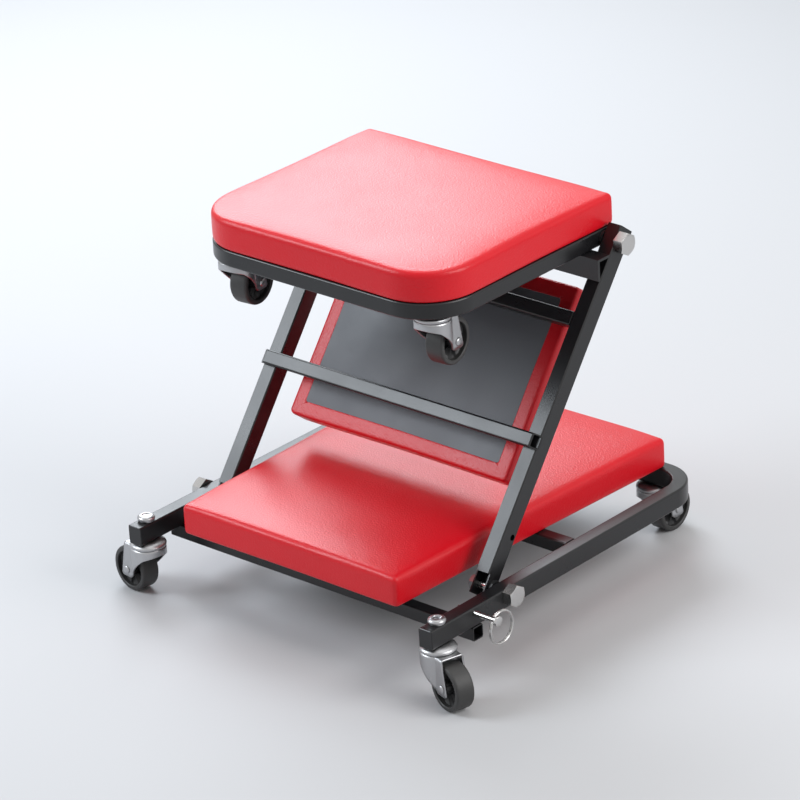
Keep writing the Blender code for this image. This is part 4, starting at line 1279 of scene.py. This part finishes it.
@dataclass
class Studio:
    """Floor, lamps, sky and the camera of the photograph."""

    azimuth: float = 42.42
    elevation: float = 24.46
    roll: float = math.radians(-3.13)
    distance: float = 4.9486
    lens: float = 209.3
    sensor: float = 36.0
    aim: tuple[float, float, float] = (0.0, 0.200, 0.100)
    slide: tuple[float, float] = (0.00482, 0.02526)
    plain: Colour = (1.0, 1.0, 1.0)
    cool: Colour = (0.86, 0.93, 1.0)
    lamp_aim: tuple[float, float, float] = (0.0, 0.0, 0.2)
    floor_reach: float = 12.0

    def camera(self) -> None:
        """Stands the camera: right and up vectors turned by the roll about the view."""
        back = toward(self.azimuth, self.elevation)
        right, up, _ = look(back).T
        target = np.array(self.aim) + np.array([0.0, FRONT_Y, RAIL_TOP])
        target = target + right * self.slide[0] + up * self.slide[1]
        c, s = math.cos(self.roll), math.sin(self.roll)
        data = bpy.data.cameras.new("photo_camera")
        data.lens, data.sensor_width = self.lens, self.sensor
        data.clip_start, data.clip_end = 0.1, 100.0
        item = linked("photo_camera", data)
        matrix = np.eye(4)
        spot = target + back * self.distance
        matrix[:3] = np.column_stack([c * right + s * up, c * up - s * right, back, spot])
        item.matrix_world = Matrix(matrix.tolist())
        bpy.context.scene.camera = item

    def floor(self) -> None:
        """Lays a pale floor."""
        reach = self.floor_reach
        corners = [(-reach, -reach, 0.0), (reach, -reach, 0.0), (reach, reach, 0.0), (-reach, reach, 0.0)]
        mesh = bpy.data.meshes.new("floor")
        mesh.from_pydata(corners, [], [(0, 1, 2, 3)])
        made = bpy.data.materials.new("pale_floor")
        made.use_nodes = True
        shader = made.node_tree.nodes["Principled BSDF"]
        shader.inputs["Base Color"].default_value = (0.60, 0.60, 0.61, 1.0)
        shader.inputs["Roughness"].default_value = 0.9
        shader.inputs["Specular IOR Level"].default_value = 0.1
        mesh.materials.append(made)
        linked("floor", mesh)

    def lamp(
        self, name: str, azimuth: float, elevation: float, far: float, size: float, power: float,
        colour: Colour,
    ) -> None:
        """Hangs one square soft lamp aimed at the object.

        Args:
            name: The lamp's name.
            azimuth: Direction it comes from, in degrees, as for the camera.
            elevation: Height of that direction, in degrees.
            far: Distance from the object.
            size: Side of the lamp.
            power: Watts.
            colour: Its tint.
        """
        back = toward(azimuth, elevation)
        data = bpy.data.lights.new(name, "AREA")
        data.shape = "SQUARE"
        data.size, data.energy, data.color = size, power, colour
        item = linked(name, data)
        item.location = (np.array(self.lamp_aim) + back * far).tolist()
        item.rotation_euler = Matrix(look(back).tolist()).to_euler()

    def sky(self) -> None:
        """Fills the world with soft light that the camera and reflections see as pale grey."""
        world = bpy.data.worlds.new("studio")
        world.use_nodes = True
        tree = world.node_tree
        back = tree.nodes["Background"]
        back.inputs["Color"].default_value = (1.0, 1.0, 1.0, 1.0)
        back.inputs["Strength"].default_value = 0.35
        pale = new_node(tree, "ShaderNodeBackground", {"Strength": 1.0})
        mix = new_node(tree, "ShaderNodeMixShader")
        path = new_node(tree, "ShaderNodeLightPath")
        seen = new_node(tree, "ShaderNodeMath")
        clear = new_node(tree, "ShaderNodeMath", use_clamp=True)
        join(
            tree,
            (path, "Is Camera Ray", seen, 0),
            (path, "Is Glossy Ray", seen, 1),
            (seen, 0, clear, 0),
            (path, "Is Transmission Ray", clear, 1),
            (clear, 0, mix, "Fac"),
            (back, "Background", mix, 1),
            (pale, "Background", mix, 2),
            (mix, "Shader", tree.nodes["World Output"], "Surface"),
        )
        bpy.context.scene.world = world

    def build(self) -> None:
        """Sets up the whole studio."""
        self.floor()
        self.sky()
        self.lamp(
            "sheen_softbox", azimuth=236.0, elevation=36.0, far=2.45, size=1.4, power=44.0, colour=self.cool
        )
        self.lamp(
            "left_softbox", azimuth=-46.0, elevation=33.0, far=2.4, size=1.0, power=30.0, colour=self.cool
        )
        self.lamp(
            "right_fill", azimuth=100.0, elevation=30.0, far=2.6, size=1.4, power=36.0, colour=self.plain
        )
        self.lamp(
            "top_softbox", azimuth=180.0, elevation=80.0, far=2.4, size=2.0, power=14.0, colour=self.plain
        )
        self.camera()
        bpy.context.scene.view_settings.view_transform = "Standard"


def pads() -> list[Pad]:
    """The three pads, each with the frame that carries it.

    Returns:
        Base, middle and seat pads.
    """
    corner, overhang = 0.006, 0.0060
    base_from, base_front, base_rear, base_short = 0.0190, 0.1515, 0.168, 0.008
    mid_from, mid_half, mid_length = 0.1090, 0.1535, 0.2200
    length, rear = BASE_LENGTH - base_from - base_short, SEAT_REAR + overhang

    def on_base(points: Array) -> Array:
        """Lays the pad on the base rails."""
        return points + np.array([0.0, FRONT_Y + base_from, RAIL_TOP + FIT])

    def on_middle(points: Array) -> Array:
        """Lays the pad, crown down, on the backs of the leaning tubes."""
        return lean(points * np.array([1.0, 1.0, -1.0]) + np.array([0.0, mid_from, TUBE_BACK - FIT]))

    def on_seat(points: Array) -> Array:
        """Lays the pad on the seat frame."""
        return points + SEAT_AXIS + np.array([0.0, 0.0, SEAT_TOP + FIT])

    def plan(front: float, front_y: float, back: float, back_y: float) -> list[tuple[float, float]]:
        """Corners of a pad from its half widths and the places of its two ends."""
        return [(-front, front_y), (front, front_y), (back, back_y), (-back, back_y)]

    seat_radii = [SEAT_CORNER, SEAT_CORNER, corner, corner]
    return [
        Pad("base", "base", plan(base_front, 0.0, base_rear, length), [corner] * 4, on_base),
        Pad("mid", "mid_section", plan(mid_half, 0.0, mid_half, mid_length), [corner] * 4, on_middle),
        Pad("seat", "seat_section", plan(SEAT_HALF, -SEAT_FRONT, SEAT_HALF, rear), seat_radii, on_seat),
    ]


def casters() -> list[Caster]:
    """The six casters where the frames carry them.

    Returns:
        Two at the front of the base, two at its rear and two under the seat.
    """
    front, rear = FRONT_Y + FRONT_STEM, FRONT_Y + BASE_LENGTH - RAIL_W / 2
    rail_x, rear_x = BASE_HALF - RAIL_W / 2, BASE_HALF - REAR_STEM_IN
    step = SEAT_STEM_REACH * math.sqrt(0.5)
    seat_x, seat_y = SEAT_HALF - SEAT_CORNER + step, SEAT_AXIS[1] + SEAT_CORNER - SEAT_FRONT - step
    seat_z = SEAT_AXIS[2] + SEAT_BOTTOM
    quarter = math.pi / 2
    pairs = (
        ("front", "base", (rail_x, front, RAIL_BOTTOM), (FRONT_LEFT_TURN, FRONT_RIGHT_TURN)),
        ("rear", "base", (rear_x, rear, RAIL_BOTTOM), (quarter, quarter)),
        ("seat", "seat_section", (seat_x, seat_y, seat_z), (SEAT_TURN, SEAT_TURN)),
    )
    return [
        Caster(f"{pair}_{side.name.lower()}", owner, np.array([side.value * x, y, z]), turn, pair == "front")
        for pair, owner, (x, y, z), turns in pairs
        for side, turn in zip(Side, turns)
    ]


def main() -> None:
    """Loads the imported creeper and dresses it, sub-assembly by sub-assembly."""
    logging.basicConfig(level=logging.INFO, format="%(name)s: %(message)s")
    for item in list(bpy.data.objects):
        bpy.data.objects.remove(item, do_unlink=True)
    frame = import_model()
    make = Dresser(Finishes(), frame["nodes"])
    Tubes(make).build()
    for pad in pads():
        pad.build(make)
    for caster in casters():
        caster.build(make)
    Hinge("base_hinge", "base", BASE_AXIS, BASE_HALF, MID_INNER).build(make)
    Hinge("seat_hinge", "mid_section", SEAT_AXIS, MID_HALF, SEAT_INNER).build(make)
    Lock(np.array([BASE_HALF, FRONT_Y + LOCK_BACK, RAIL_TOP - LOCK_DROP])).build(make)
    Studio().build()
    LOG.info("%d pieces made", len(make.made))


if __name__ == "__main__":
    main()
